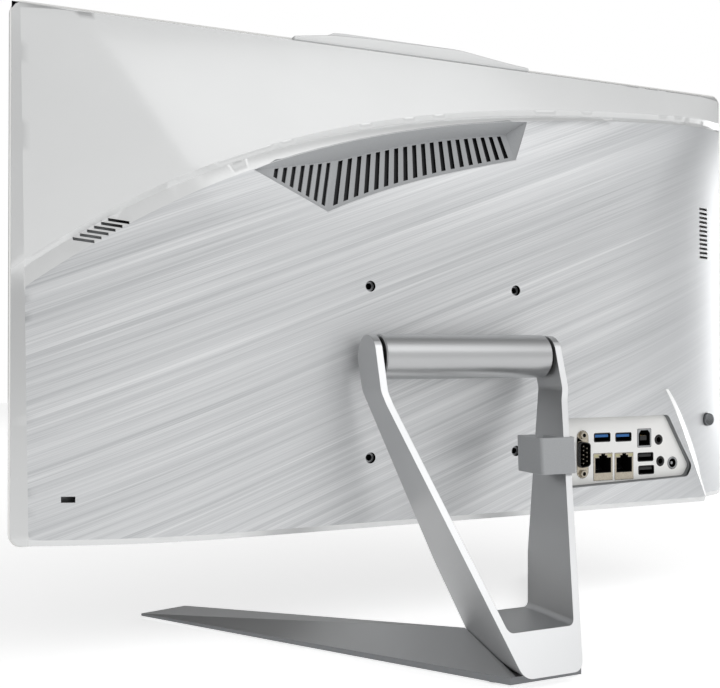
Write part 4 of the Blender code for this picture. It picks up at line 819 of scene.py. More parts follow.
# ------------------------------------------------------------------ bezel, screen glass and camera
HOUSING = ((64.5, 356.5), (64.5, 359.7), (60.0, 361.9), (53.1, 362.3), (-25.7, 362.4), (-60.0, 357.4),
           (-77.0, 355.3), (-77.0, 352.5), (64.5, 352.5))       # outline of the camera's housing, in mm as (x, z)
FAIRING = ((88.0, 355.0), (63.0, 358.6), (40.0, 359.6), (-25.7, 360.4), (-60.0, 356.4), (-77.0, 355.0),
           (-77.0, 352.5), (88.0, 352.5))       # outline of the slimmer fairing behind it
CAMERA_Z = 357.4 * MM


def build_bezel(kit, size):
    """The bezel with its glass seat and window; also the camera's housing with the fairing behind it."""
    low, high = BEZEL_MIN.z, GLASS_MAX.z + 1.6 * MM
    half = BEZEL_MAX.x
    front, back = BEZEL_MIN.y, RIM - 0.3 * MM
    bezel = prism("bezel", rounded(-half, half, low, high, 7 * MM, 8), front, back, "Y", [kit["white"]])
    g = 0.2 * MM
    seat = rounded(GLASS_MIN.x - g, GLASS_MAX.x + g, GLASS_MIN.z - g, GLASS_MAX.z + g, 5.4 * MM)
    combine(bezel, prism("seat", seat, front - 1 * MM, GLASS_MAX.y + 0.3 * MM, "Y", [kit["white"]]))
    window = rounded(-half + 4.5 * MM, half - 4.5 * MM, low + 4.5 * MM, high - 4.5 * MM, 3 * MM)
    combine(bezel, prism("window", window, front - 1 * MM, 0, "Y", [kit["black"]]))
    soften(bezel, size.bezel_edge, 3)
    # the camera's housing: a front shell, and a slimmer fairing behind it
    points = [(x * MM, z * MM) for x, z in HOUSING]
    shell = prism("shell", arc_corners(points, [0, 1 * MM, 2 * MM, 4 * MM, 30 * MM, 20 * MM, 1 * MM, 0, 0]),
                  front, RIM - 0.2 * MM, "Y", [kit["shell"]])
    soften(shell, 0.5 * MM, 3)
    points = [(x * MM, z * MM) for x, z in FAIRING]
    fairing = prism("fairing", arc_corners(points, [1 * MM, 20 * MM, 20 * MM, 30 * MM, 20 * MM, 1 * MM, 0, 0]),
                    RIM + 0.1 * MM, RIM + 5.5 * MM, "Y", [kit["shell"]])
    soften(fairing, 0.8 * MM, 3)
    eye = turned("eye", [(0, -3 * MM), (2.9 * MM, -3 * MM), (2.9 * MM, 1.6 * MM), (0, 1.6 * MM)],
                 (0, front, CAMERA_Z), [kit["black"]])
    combine(shell, eye)
    bm = bmesh.new()
    for one in (shell, fairing):
        bm.from_mesh(one.data)
        bpy.data.objects.remove(one, do_unlink=True)
    hump = object_of("camera_housing", bm, [kit["shell"], kit["black"]])
    return bezel, soften(hump, 0.0)


def build_glass(kit):
    """The front glass with a ground edge."""
    outline = rounded(GLASS_MIN.x, GLASS_MAX.x, GLASS_MIN.z, GLASS_MAX.z, 5 * MM, 10)
    return soften(prism("screen_glass", outline, GLASS_MIN.y, GLASS_MAX.y, "Y", [kit["glass"]]), 0.3 * MM, 3)


def build_lens(kit):
    """Camera lens: a domed glass in a black ring."""
    base = BEZEL_MIN.y + 1.5 * MM
    bm = bmesh.new()
    put_turned(bm, [(0, 0.6 * MM), (2.3 * MM, 0.6 * MM), (2.3 * MM, -0.9 * MM), (1.9 * MM, -1.1 * MM),
                    (1.5 * MM, -0.5 * MM), (0, -0.5 * MM)], (0, base, CAMERA_Z), 40, 0)
    put_turned(bm, [(0, -0.3 * MM), (1.5 * MM, -0.3 * MM), (1.4 * MM, -0.7 * MM), (0.8 * MM, -0.92 * MM),
                    (0, -1.0 * MM)], (0, base, CAMERA_Z), 40, 1)
    return soften(object_of("camera_eye", bm, [kit["black"], kit["glass"]]), 0.0)


# ------------------------------------------------------------------ sockets
PLATE_Y = -9.5 * MM             # face of the socket plate
SERIAL_AT = (-105.0 * MM, 101.0 * MM)
USB3_AT = ((-120.8 * MM, 111.5 * MM), (-138.2 * MM, 111.2 * MM))
USB2_AT = ((-156.6 * MM, 97.2 * MM), (-157.2 * MM, 88.5 * MM))
LAN_AT = ((-121.4 * MM, 92.2 * MM), (-138.6 * MM, 91.9 * MM))
SQUARE_AT = (-155.6 * MM, 110.0 * MM)
JACKS_AT = ((-167.8 * MM, 108.4 * MM), (-169.2 * MM, 93.8 * MM))
POWER_AT = (-179.6 * MM, 92.2 * MM)
JACK_R = 3.3 * MM
POWER_R = 4.1 * MM
USB_SIZE = (13.1 * MM, 5.7 * MM)
LAN_SIZE = (15.2 * MM, 17.6 * MM)
SQUARE_SIZE = (11.4 * MM, 12.2 * MM)
SERIAL_SIZE = (9.0 * MM, 30.8 * MM)
SOCKET_BACK = -22.6 * MM


def frame_at(spot, size, grow=0.0, radius=0.0, steps=4):
    """Outline of a socket's frame about its centre."""
    wide, tall = size[0] / 2 + grow, size[1] / 2 + grow
    return rounded(spot[0] - wide, spot[0] + wide, spot[1] - tall, spot[1] + tall, radius, steps)


def build_plate(kit, size):
    """The socket plate: rounded edges, a window with its own rim for each socket."""
    plate = prism("socket_plate", socket_outline(), PLATE_Y - 1.5 * MM, PLATE_Y, "Y", [kit["plate"]])
    gap = 0.2 * MM
    windows = [frame_at(SERIAL_AT, SERIAL_SIZE, gap, 4.6 * MM, 10)]
    windows += [frame_at(spot, USB_SIZE, gap, 1.1 * MM) for spot in USB3_AT + USB2_AT]
    windows += [frame_at(spot, LAN_SIZE, gap, 0.4 * MM) for spot in LAN_AT]
    windows += [frame_at(SQUARE_AT, SQUARE_SIZE, gap, 0.8 * MM)]
    for k, outline in enumerate(windows):
        combine(plate, prism("window_%d" % k, outline, PLATE_Y - 5 * MM, PLATE_Y + 5 * MM, "Y", [kit["void"]]))
    bm = bmesh.new()
    for spot, radius in ((JACKS_AT[0], JACK_R), (JACKS_AT[1], JACK_R), (POWER_AT, POWER_R)):
        reach = radius + gap
        put_turned(bm, [(0, -4 * MM), (reach, -4 * MM), (reach, 4 * MM), (0, 4 * MM)],
                   (spot[0], PLATE_Y, spot[1]), 40)
    combine(plate, object_of("round_windows", bm, [kit["void"]]))
    return soften(plate, size.plate_edge, 2, 40)


def usb_port(kit, name, spot, tongue):
    """A USB socket: a folded shell with a rounded mouth, its tongue in the upper half and four contacts."""
    front = PLATE_Y + 0.2 * MM
    body = prism(name, frame_at(spot, USB_SIZE, 0, 1.0 * MM), SOCKET_BACK, front, "Y", [kit["black"]])
    mouth = frame_at(spot, USB_SIZE, -0.45 * MM, 0.7 * MM)
    combine(body, prism("mouth", mouth, front - 10 * MM, front + 1 * MM, "Y", [kit["void"]]))
    x, z = spot
    bm = bmesh.new()
    put_box(bm, (x - 5.3 * MM, x + 5.3 * MM), (front - 10.2 * MM, front - 0.9 * MM), (z + 0.1 * MM, z + 1.9 * MM), 0)
    for k in range(4):
        cx = x + (k - 1.5) * 2.5 * MM
        put_box(bm, (cx - 0.5 * MM, cx + 0.5 * MM), (front - 9 * MM, front - 3.5 * MM),
                (z - 0.05 * MM, z + 0.2 * MM), 1)
    tongue_piece = object_of(name + "_tongue", bm, [tongue, kit["gold"]])
    return soften(body, 0.12 * MM, 2, 40), soften(tongue_piece, 0.15 * MM, 2, 40)


def lan_port(kit, name, spot):
    """A network socket: folded metal shell, stepped mouth, eight contacts and two light windows."""
    x, z = spot
    front = PLATE_Y + 0.2 * MM
    body = prism(name, frame_at(spot, LAN_SIZE, 0, 0.3 * MM), SOCKET_BACK, front, "Y", [kit["nickel"]])
    mouth = [(-6.15, -3.7), (6.15, -3.7), (6.15, 5.8), (3.15, 5.8), (3.15, 7.2), (1.5, 7.2), (1.5, 8.3), (-1.5, 8.3),
             (-1.5, 7.2), (-3.15, 7.2), (-3.15, 5.8), (-6.15, 5.8)]
    outline = [(x + a * MM, z + b * MM) for a, b in mouth]
    combine(body, prism("mouth", outline, front - 11 * MM, front + 1 * MM, "Y", [kit["void"]]))
    lip = [(x + a * MM * 1.05, z + (b * 1.05 - 0.1) * MM) for a, b in mouth]
    combine(body, prism("lip", lip, front - 0.5 * MM, front + 1 * MM, "Y", [kit["black"]]))
    for side in (1, -1):
        cx = x + side * 5.4 * MM
        combine(body, prism("light_seat", rounded(cx - 1.7 * MM, cx + 1.7 * MM, z + 6.5 * MM, z + 8.2 * MM, 0.3 * MM),
                            front - 0.25 * MM, front + 1 * MM, "Y", [kit["amber"]]))
    bm = bmesh.new()
    for k in range(8):
        cx = x + (k - 3.5) * 1.02 * MM
        rings = []
        for y, c in ((front - 10.5 * MM, z + 1.0 * MM), (front - 6.5 * MM, z - 2.6 * MM)):
            rings.append([bm.verts.new((cx + a * MM, y, c + b * MM)) for a, b in
                          ((-0.23, -0.2), (0.23, -0.2), (0.23, 0.2), (-0.23, 0.2))])
        for ring in rings:
            bm.faces.new(ring)
        for i in range(4):
            j = (i + 1) % 4
            bm.faces.new((rings[0][i], rings[0][j], rings[1][j], rings[1][i]))
    contacts = object_of(name + "_contacts", bm, [kit["black"]])
    return soften(body, 0.12 * MM, 2, 40), contacts


def square_port(kit):
    """A square USB socket: grey frame, black mouth with cut corners, and a post."""
    x, z = SQUARE_AT
    front = PLATE_Y + 0.2 * MM
    body = prism("square_port", frame_at(SQUARE_AT, SQUARE_SIZE, 0, 0.7 * MM), SOCKET_BACK, front, "Y", [kit["zinc"]])
    mouth = [(-4.7, -5.0), (4.7, -5.0), (4.7, 3.0), (2.9, 5.2), (-2.9, 5.2), (-4.7, 3.0)]
    outline = [(x + a * MM, z + b * MM) for a, b in mouth]
    combine(body, prism("mouth", outline, front - 10 * MM, front + 1 * MM, "Y", [kit["void"]]))
    bm = bmesh.new()
    put_box(bm, (x - 2.8 * MM, x + 2.8 * MM), (front - 10.4 * MM, front - 1.2 * MM), (z - 1.6 * MM, z + 1.6 * MM), 0)
    for sx in (1, -1):
        for sz in (1, -1):
            put_box(bm, (x + sx * 1.3 * MM - 0.5 * MM, x + sx * 1.3 * MM + 0.5 * MM), (front - 9 * MM, front - 2 * MM),
                    (z + sz * 1.6 * MM - 0.1 * MM, z + sz * 1.6 * MM + 0.1 * MM), 1)
    post = object_of("square_port_post", bm, [kit["black"], kit["gold"]])
    return soften(body, 0.25 * MM, 2, 40), soften(post, 0.15 * MM, 2, 40)


def serial_pieces(kit):
    """A nine-pin serial socket: flange, D-shaped shell, pins, and a hexagonal post at each end."""
    x, z = SERIAL_AT
    y = PLATE_Y
    flange = prism("serial_port", frame_at(SERIAL_AT, SERIAL_SIZE, 0, 4.2 * MM, 10), SOCKET_BACK, y + 0.2 * MM, "Y",
                   [kit["nickel"]])

    def shell_outline(g):
        points = [(x + 3.9 * MM - g, z - 8.4 * MM + g), (x + 3.9 * MM - g, z + 8.4 * MM - g),
                  (x - 3.9 * MM + g, z + 7.0 * MM - g), (x - 3.9 * MM + g, z - 7.0 * MM + g)]
        return arc_corners(points, [2.2 * MM - g * 0.6] * 4, 6)

    combine(flange, prism("shell", shell_outline(-0.5 * MM), y - 5 * MM, y + 3.0 * MM, "Y", [kit["black"]]), "UNION")
    combine(flange, prism("room", shell_outline(0.1 * MM), y - 1 * MM, y + 6 * MM, "Y", [kit["void"]]))
    soften(flange, 0.2 * MM, 2, 40)
    bm = bmesh.new()
    for row, count in ((1.4, 5), (-1.4, 4)):
        for k in range(count):
            pz = z + (k - (count - 1) / 2) * 2.77 * MM
            put_turned(bm, [(0, -2 * MM), (0.5 * MM, -2 * MM), (0.5 * MM, 2.4 * MM), (0.3 * MM, 2.9 * MM), (0, 3 * MM)],
                       (x + row * MM, y, pz), 12)
    pins = object_of("serial_pins", bm, [kit["nickel"]])
    bm = bmesh.new()
    for side in (1, -1):
        spot = (x, y, z + side * 12.5 * MM)
        put_turned(bm, [(0, -3 * MM), (2.7 * MM, -3 * MM), (2.7 * MM, 1.7 * MM), (2.35 * MM, 2.0 * MM),
                        (1.4 * MM, 2.0 * MM), (1.3 * MM, 1.0 * MM), (0, 0.8 * MM)], spot, 6)
        put_turned(bm, [(0, 0), (1.45 * MM, 0), (1.45 * MM, 1.9 * MM), (1.2 * MM, 2.05 * MM), (0, 0.9 * MM)],
                   spot, 24, 1)
    posts = object_of("serial_posts", bm, [kit["nickel"], kit["void"]])
    return flange, soften(pins, 0.0), soften(posts, 0.12 * MM, 2, 40)


def round_port(kit, name, spot, radius, bore, metal, pin):
    """A jack: ringed mouth, a deep bore, and a pin where it has one."""
    front = 0.4 * MM
    deep = SOCKET_BACK - PLATE_Y
    profile = [(0, deep), (radius, deep), (radius, front - 0.3 * MM), (radius - 0.35 * MM, front),
               (bore + 0.35 * MM, front), (bore, front - 0.35 * MM), (bore, front - 9 * MM), (0, front - 9 * MM)]
    bm = bmesh.new()
    put_turned(bm, profile, (spot[0], PLATE_Y, spot[1]), 40, 0)
    for face in bm.faces:
        middle = face.calc_center_median()
        away = math.hypot(middle.x - spot[0], middle.z - spot[1])
        face.material_index = 1 if away <= bore * 1.01 and middle.y < PLATE_Y + front - 0.4 * MM else 0
    if pin:
        put_turned(bm, [(0, front - 9.2 * MM), (pin, front - 9.2 * MM), (pin, front - 1.0 * MM), (0, front - 0.6 * MM)],
                   (spot[0], PLATE_Y, spot[1]), 20, 2)
    return soften(object_of(name, bm, [metal, kit["void"], kit["zinc"]]), 0.0)


def build_button(kit):
    """Power button: a flanged cap with a chamfer and a shallow dish."""
    low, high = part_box("power_button")
    middle = (low + high) / 2
    cap = high.y - middle.y
    foot = low.y - middle.y
    reach = BUTTON_R
    profile = [(0, foot), (reach + 1.2 * MM, foot), (reach + 1.2 * MM, foot + 1.0 * MM), (reach, foot + 1.0 * MM),
               (reach, cap - 0.7 * MM), (reach - 0.2 * MM, cap - 0.25 * MM), (reach - 0.7 * MM, cap)]
    profile += [((reach - 0.7 * MM) * (1 - k / 6), cap - 0.35 * MM * math.sin(math.pi / 2 * k / 6))
                for k in range(1, 6)]
    profile += [(0, cap - 0.35 * MM)]
    return soften(turned("power_cap", profile, middle, [kit["button"]], 56), 0.0)


# ------------------------------------------------------------------ hinge
def build_barrel(kit, size):
    """The hinge barrel: a turned tube with a chamfer at each end."""
    half = BARREL_MAX.x + 1.2 * MM
    reach = (BARREL_MAX.z - BARREL_MIN.z) / 2 + 0.9 * MM
    edge = size.barrel_edge
    profile = [(0, -half), (reach - edge - 0.4 * MM, -half), (reach - edge, -half), (reach, -half + edge),
               (reach, half - edge), (reach - edge, half), (reach - edge - 0.4 * MM, half), (0, half)]
    barrel = turned("barrel", profile, PIVOT, [kit["barrel"]], 96, "X")
    return soften(barrel, 0.0)


def build_washers(kit):
    """The two black friction washers between the barrel and the legs."""
    bm = bmesh.new()
    for side in (1, -1):
        low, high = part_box("friction_washer_left")
        reach = (high.z - low.z) / 2
        t = (high.x - low.x) / 4
        spot = (side * (high.x - t), PIVOT.y, PIVOT.z)
        put_turned(bm, [(0, -t), (reach - 0.4 * MM, -t), (reach, -t + 0.3 * MM), (reach - 0.5 * MM, -0.1 * MM),
                        (reach - 0.5 * MM, 0.1 * MM), (reach, t - 0.3 * MM), (reach - 0.4 * MM, t), (0, t)],
                   spot, 64, 0, "X")
    return soften(object_of("washers", bm, [kit["black"]]), 0.0)


def build_saddle(kit):
    """The bracket between the back and the barrel: a cast block hollowed to the barrel's radius."""
    low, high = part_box("hinge_bracket")
    y0, y1 = low.y, high.y
    outline = [(low.x, low.z), (high.x, low.z), (high.x, high.z), (low.x, high.z)]
    saddle = prism("saddle", arc_corners(outline, [3 * MM] * 4), y0, y1, "Y", [kit["black"]])
    reach = (BARREL_MAX.z - BARREL_MIN.z) / 2 + 1.2 * MM
    combine(saddle, turned("room", [(0, -90 * MM), (reach, -90 * MM), (reach, 90 * MM), (0, 90 * MM)], PIVOT,
                           [kit["black"]], 64, "X"))
    return soften(saddle, 0.5 * MM, 2, 40)


# ------------------------------------------------------------------ stand
PIVOT_DEPTH = 20.0 * MM         # depths below are counted from the back's flat middle, as the frame's drawing has them
LEG_T = 4.4 * MM
LEG_TOP_HALF = 61.6 * MM
LEG_FOOT_HALF = 17.6 * MM
LEG_BEND_Z = 146.0 * MM
LEG_HEAD_R = 12.4 * MM
FRAME_FOOT_Z = 5.5 * MM
CROSSBAR_TOP_Z = 26.0 * MM
FRONT_POINTS = ((9.6, 158.0), (15.0, 142.0), (45.0, 53.5), (61.0, 19.0), (66.0, 5.5))
REAR_POINTS = ((111.0, 5.5), (40.5, 139.3))


def leg_half(z):
    """Half the frame's outer width at a height."""
    slope = (LEG_TOP_HALF - LEG_FOOT_HALF) / (LEG_BEND_Z - FRAME_FOOT_Z)
    return min(LEG_TOP_HALF, LEG_FOOT_HALF + slope * (z - FRAME_FOOT_Z))


def build_frame(kit, size):
    """The loop-shaped stand frame: two legs that meet in a crossbar, cut from one profile."""
    head = [(PIVOT_DEPTH + LEG_HEAD_R * math.cos(math.radians(a)), PIVOT.z + LEG_HEAD_R * math.sin(math.radians(a)))
            for a in range(25, 200, 9)]
    side = head + [(y * MM, z * MM) for y, z in FRONT_POINTS + REAR_POINTS]
    frame_piece = prism("frame", [(y + BACK_Y, z) for y, z in side], -70 * MM, 70 * MM, "X", [kit["stand"]])
    z0, z1, bend = FRAME_FOOT_Z, PIVOT.z + 20 * MM, LEG_BEND_Z
    outer = arc_corners([(leg_half(z1), z1), (leg_half(bend), bend), (leg_half(z0), z0), (-leg_half(z0), z0),
                         (-leg_half(bend), bend), (-leg_half(z1), z1)], [0, 14 * MM, 7 * MM, 7 * MM, 14 * MM, 0], 10)
    combine(frame_piece, prism("outline", outer, -30 * MM, 130 * MM, "Y", [kit["stand"]]), "INTERSECT")
    t, low = LEG_T, CROSSBAR_TOP_Z
    inner = arc_corners([(leg_half(z1) - t, z1 + 5 * MM), (leg_half(bend) - t, bend), (leg_half(low) - t, low),
                         (t - leg_half(low), low), (t - leg_half(bend), bend), (t - leg_half(z1), z1 + 5 * MM)],
                        [0, 11 * MM, 4 * MM, 4 * MM, 11 * MM, 0], 10)
    combine(frame_piece, prism("opening", inner, -40 * MM, 140 * MM, "Y", [kit["stand"]]))
    soften(frame_piece, size.frame_edge, 3)
    # the faces towards +Y take the paler aluminium: painted highlight
    return recoat(frame_piece, kit["cut"], lambda normal: normal.y > 0.75)


BASE_REAR = BASE_MAX.y
BASE_FRONT = BASE_MIN.y
BASE_UNDER = BASE_MIN.z
BASE_TIP_HALF = BASE_MAX.x
BASE_TIP_IN = 133.0 * MM
BASE_REAR_HALF = 21.5 * MM
BASE_EDGE_Z = 5.2 * MM
RIDGE_REAR_Z = 19.5 * MM
RIDGE_FRONT_Z = 5.0 * MM
RIDGE_REAR_Y = 57.5 * MM
RIDGE_REAR_X = 22.0 * MM
TIP_TOP_Z = 3.0 * MM


def build_base(kit, size):
    """The base: two arms that run out to the front tips, their tops rising to an inner ridge, on a rear plate."""
    outline = [(BASE_REAR_HALF, BASE_REAR), (-BASE_REAR_HALF, BASE_REAR),
               (-RIDGE_REAR_X - 18 * MM, RIDGE_REAR_Y + 6 * MM), (-12 * MM, RIDGE_REAR_Y + 4 * MM),
               (12 * MM, RIDGE_REAR_Y + 4 * MM), (RIDGE_REAR_X + 18 * MM, RIDGE_REAR_Y + 6 * MM)]
    plate = prism("base", outline, BASE_UNDER, BASE_EDGE_Z, "Z", [kit["base"]])
    for side in (1, -1):
        bm = bmesh.new()
        rings = [[(8 * MM, BASE_REAR, BASE_UNDER), (8 * MM, BASE_REAR, BASE_EDGE_Z),
                  (8 * MM, RIDGE_REAR_Y, RIDGE_REAR_Z + 5 * MM), (8 * MM, RIDGE_REAR_Y, BASE_UNDER)]]
        for k in range(2):
            outer = (BASE_TIP_HALF if k else BASE_REAR_HALF, BASE_FRONT if k else BASE_REAR)
            inner = (BASE_TIP_IN if k else RIDGE_REAR_X, BASE_FRONT if k else RIDGE_REAR_Y)
            edge = TIP_TOP_Z if k else BASE_EDGE_Z
            ridge = RIDGE_FRONT_Z if k else RIDGE_REAR_Z
            rings.append([(*outer, BASE_UNDER), (*outer, edge), (*inner, ridge), (*inner, BASE_UNDER)])
        rings = [[bm.verts.new((side * x, y, z)) for x, y, z in ring] for ring in rings]
        for a, b in zip(rings, rings[1:]):
            for i in range(4):
                j = (i + 1) % 4
                bm.faces.new((a[i], a[j], b[j], b[i]))
        bm.faces.new(rings[0])
        bm.faces.new(rings[-1])
        bmesh.ops.triangulate(bm, faces=list(bm.faces))
        combine(plate, object_of("arm", bm, [kit["base"]]), "UNION")
    z0, z1, g = FRAME_FOOT_Z - 0.3 * MM, 40 * MM, 0.3 * MM
    pocket = [(leg_half(z0) + g, z0), (leg_half(z1) + g, z1), (-leg_half(z1) - g, z1), (-leg_half(z0) - g, z0)]
    combine(plate, prism("pocket", pocket, RIDGE_REAR_Y - 20 * MM, BASE_REAR + 20 * MM, "Y", [kit["base"]]))
    bm = bmesh.new()
    for word in ("1", "2"):
        low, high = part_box("base_screw_" + word)
        spot = ((low.x + high.x) / 2, (low.y + high.y) / 2, 0)
        put_turned(bm, [(0, -1 * MM), (4.4 * MM, -1 * MM), (4.4 * MM, 3.8 * MM),
                        (2.4 * MM, 3.8 * MM), (2.4 * MM, 30 * MM),
                        (0, 30 * MM)], spot, 32, 0, "Z")
    combine(plate, object_of("screw_holes", bm, [kit["base"]]))
    soften(plate, size.base_edge, 3)
    # the base's side faces take the darker aluminium: painted shade
    return recoat(plate, kit["edge"], lambda normal: abs(normal.z) < 0.5)


def build_feet(kit):
    """Three moulded rubber strips under the base, with rounded ends and a softened lower edge."""
    from_end, to_end, half = Vector((139 * MM, -93.5 * MM)), Vector((84 * MM, -11.5 * MM)), 4 * MM
    run = (to_end - from_end).normalized()
    wide = Vector((-run.y, run.x)) * half
    pieces = []
    for side, word in ((1, "left"), (-1, "right")):
        outline = [(side * p.x, p.y) for p in (from_end + wide, to_end + wide, to_end - wide, from_end - wide)]
        pieces.append((word, arc_corners(outline, [3.9 * MM] * 4)))
    pieces.append(("rear", rounded(-26 * MM, 26 * MM, 82.5 * MM, 90.5 * MM, 3.9 * MM)))
    made = []
    for word, outline in pieces:
        foot = prism("foot_" + word, outline, 0.0, 1.5 * MM, "Z", [kit["rubber"]])
        made.append((soften(foot, 0.35 * MM, 2), "base_foot_" + word))
    return made


CLIP_Z = 109.0 * MM
CLIP_H = 19.5 * MM
CLIP_WALL = 2.2 * MM
CLIP_DEEP = 22.5 * MM
CHANNEL_W = 12.5 * MM


def build_clip(kit, size):
    """The cable clip: a folded plastic channel gripping the rear of the -X leg."""
    z0, z1 = CLIP_Z - CLIP_H / 2, CLIP_Z + CLIP_H / 2
    slope_x = (LEG_TOP_HALF - LEG_FOOT_HALF) / (LEG_BEND_Z - FRAME_FOOT_Z)
    (ya, za), (yb, zb) = REAR_POINTS
    slope_y = (yb - ya) / (zb - za)
    rear = ya * MM + slope_y * (CLIP_Z - za * MM) + BACK_Y
    half = leg_half(CLIP_Z)
    g, w = 0.3 * MM, CLIP_WALL
    outside, leg_in = -half - g - w, -half + LEG_T + g
    channel = leg_in + w + CHANNEL_W
    y_rear, y_front = rear + g + w, rear - CLIP_DEEP
    outline = [(outside, y_rear), (channel + w, y_rear), (channel + w, y_front), (leg_in + 2 * w, y_front),
               (leg_in + 2 * w, y_front + w), (channel, y_front + w), (channel, y_rear - w), (leg_in + w, y_rear - w),
               (leg_in + w, y_front + w + 3 * MM), (leg_in, y_front + w + 3 * MM),
               (leg_in, rear + g), (-half - g, rear + g),
               (-half - g, y_front + 5 * MM), (outside, y_front + 5 * MM)]
    clip = prism("clip", arc_corners(outline, [2.2 * MM, 2.2 * MM, 1.5 * MM] + [0] * 11), z0, z1, "Z", [kit["clip"]])
    soften(clip, size.clip_edge, 2)
    for vert in clip.data.vertices:
        rise = vert.co.z - CLIP_Z
        vert.co.x -= slope_x * rise
        vert.co.y += slope_y * rise
    return clip


# ------------------------------------------------------------------ stage
BRIGHT_SIDE = (0.05, 0.98, 0.2)
SURROUND_DIM = 0.12             # the surround's strength as light, away from its bright side and towards it
SURROUND_BRIGHT = 0.84


# the soft boxes: name, place, what each points at, width and height in metres, and watts
LIGHTS = (("key", (-0.7, 1.5, 1.5), (0.0, 0.0, 0.2), 1.2, 1.2, 5.0),
          ("side", (-1.6, -0.25, 0.25), (-0.18, 0.0, 0.13), 0.6, 0.6, 5.0),
          ("front", (-0.3, -1.7, 1.2), (0.0, 0.0, 0.25), 1.0, 0.8, 2.5))
CAMERA_PLACE = (295.3 * MM, 524.9 * MM, 167.0 * MM)
CAMERA_AIM = (-0.4115, -0.9114)
CAMERA_RISE = math.radians(0.52)
SENSOR = 36.0


def viewing_camera(size):
    """The camera at the viewing angle: behind the computer, to its +X side and just above the hinge."""
    data = bpy.data.cameras.new("camera")
    data.lens = size.camera_lens
    data.sensor_width = SENSOR
    data.clip_start = 0.01
    made = bpy.data.objects.new("camera", data)
    made.location = CAMERA_PLACE
    aim = Vector((*CAMERA_AIM, math.tan(CAMERA_RISE)))
    made.rotation_euler = aim.to_track_quat("-Z", "Y").to_euler()
    bpy.context.scene.collection.objects.link(made)
    bpy.context.scene.camera = made


def soft_light(name, spot, target, wide, tall, power):
    """An area light that points at a target."""
    data = bpy.data.lights.new(name, "AREA")
    data.shape = "RECTANGLE"
    data.size = wide
    data.size_y = tall
    data.energy = power
    made = bpy.data.objects.new(name, data)
    made.location = spot
    made.rotation_euler = (Vector(target) - Vector(spot)).to_track_quat("-Z", "Y").to_euler()
    bpy.context.scene.collection.objects.link(made)
    return made


def studio_world():
    """A white surround to look at; as light it is brightest behind the camera and dimmer past the object."""
    world = bpy.data.worlds.new("studio")
    world.use_nodes = True
    tree = world.node_tree
    shade = tree.nodes["Background"]
    place = add(tree, "TexCoord")
    facing = add(tree, "VectorMath", {0: (place, "Generated"), 1: BRIGHT_SIDE}, operation="DOT_PRODUCT")
    glow = add(tree, "MapRange", {"Value": (facing, "Value"), "From Min": -0.35, "From Max": 1.0,
                                  "To Min": SURROUND_DIM,
                                  "To Max": SURROUND_BRIGHT}, interpolation_type="SMOOTHSTEP")
    path = add(tree, "LightPath")
    seen = add(tree, "Math", {0: (glow, 0), 1: (path, "Is Camera Ray")}, operation="MAXIMUM")
    tree.links.new(seen.outputs[0], shade.inputs["Strength"])
    shade.inputs["Color"].default_value = (1.0, 1.0, 1.0, 1.0)
    bpy.context.scene.world = world


def floor_paper():
    """Matt white paper sweep: an even, very slightly mottled white."""
    made, tree, shader = surface_material("matt_white_paper", 0.0, 0.9, Specular_IOR_Level=0.2,
                                          Emission_Color=(1.0, 1.0, 1.0, 1.0), Emission_Strength=0.55)
    place = add(tree, "TexCoord")
    grain = add(tree, "TexNoise", {"Vector": (place, "Object"), "Scale": 600.0, "Detail": 2.0})
    tone = mottled(tree, (grain, 0), linear("f4f4f4"), linear("f8f8f8"))
    tree.links.new(tone.outputs[2], shader.inputs["Base Color"])
    return made


def build_floor():
    """A plain paper floor."""
    bm = bmesh.new()
    reach = 3.0
    ring = [bm.verts.new((x, y, 0.0)) for x, y in ((-reach, -reach), (reach, -reach), (reach, reach), (-reach, reach))]
    bm.faces.new(ring)
    return object_of("studio_floor", bm, [floor_paper()])


# ------------------------------------------------------------------ settings
class SizeSettings(bpy.types.PropertyGroup):
    """Sizes of the fine detail."""
    cover_edge: FloatProperty(name="Cover edge", description="Rounding of the cover's creases", default=0.5 * MM,
                              min=0.05 * MM, max=1.0 * MM, unit="LENGTH")
    bezel_edge: FloatProperty(name="Bezel edge", description="Rounding of the bezel's edges", default=0.5 * MM,
                              min=0.05 * MM, max=0.9 * MM, unit="LENGTH")
    plate_edge: FloatProperty(name="Socket plate edge", description="Rounding of the socket plate's windows",
                              default=0.2 * MM, min=0.05 * MM, max=0.4 * MM, unit="LENGTH")
    barrel_edge: FloatProperty(name="Barrel chamfer", description="Chamfer at the hinge barrel's ends",
                               default=0.7 * MM, min=0.1 * MM, max=2 * MM, unit="LENGTH")
    frame_edge: FloatProperty(name="Frame edge", description="Rounding of the stand frame's edges",
                              default=0.22 * MM, min=0.1 * MM, max=1.2 * MM, unit="LENGTH")
    base_edge: FloatProperty(name="Base edge", description="Rounding of the base's edges", default=0.4 * MM,
                             min=0.1 * MM, max=0.6 * MM, unit="LENGTH")
    clip_edge: FloatProperty(name="Clip edge", description="Rounding of the cable clip's edges", default=0.35 * MM,
                             min=0.05 * MM, max=0.8 * MM, unit="LENGTH")
    slit_width: FloatProperty(name="Slit width", description="Width of the small slits at both edges of the back",
                              default=1.6 * MM, min=0.5 * MM, max=2 * MM, unit="LENGTH")
    slot_share: FloatProperty(name="Slot share", description="Width of a vent slot as a share of its pitch",
                              default=0.46, min=0.2, max=0.8, subtype="FACTOR")
    camera_lens: FloatProperty(name="Lens", description="Focal length of the camera in millimetres", default=50.0,
                               min=20.0, max=200.0)


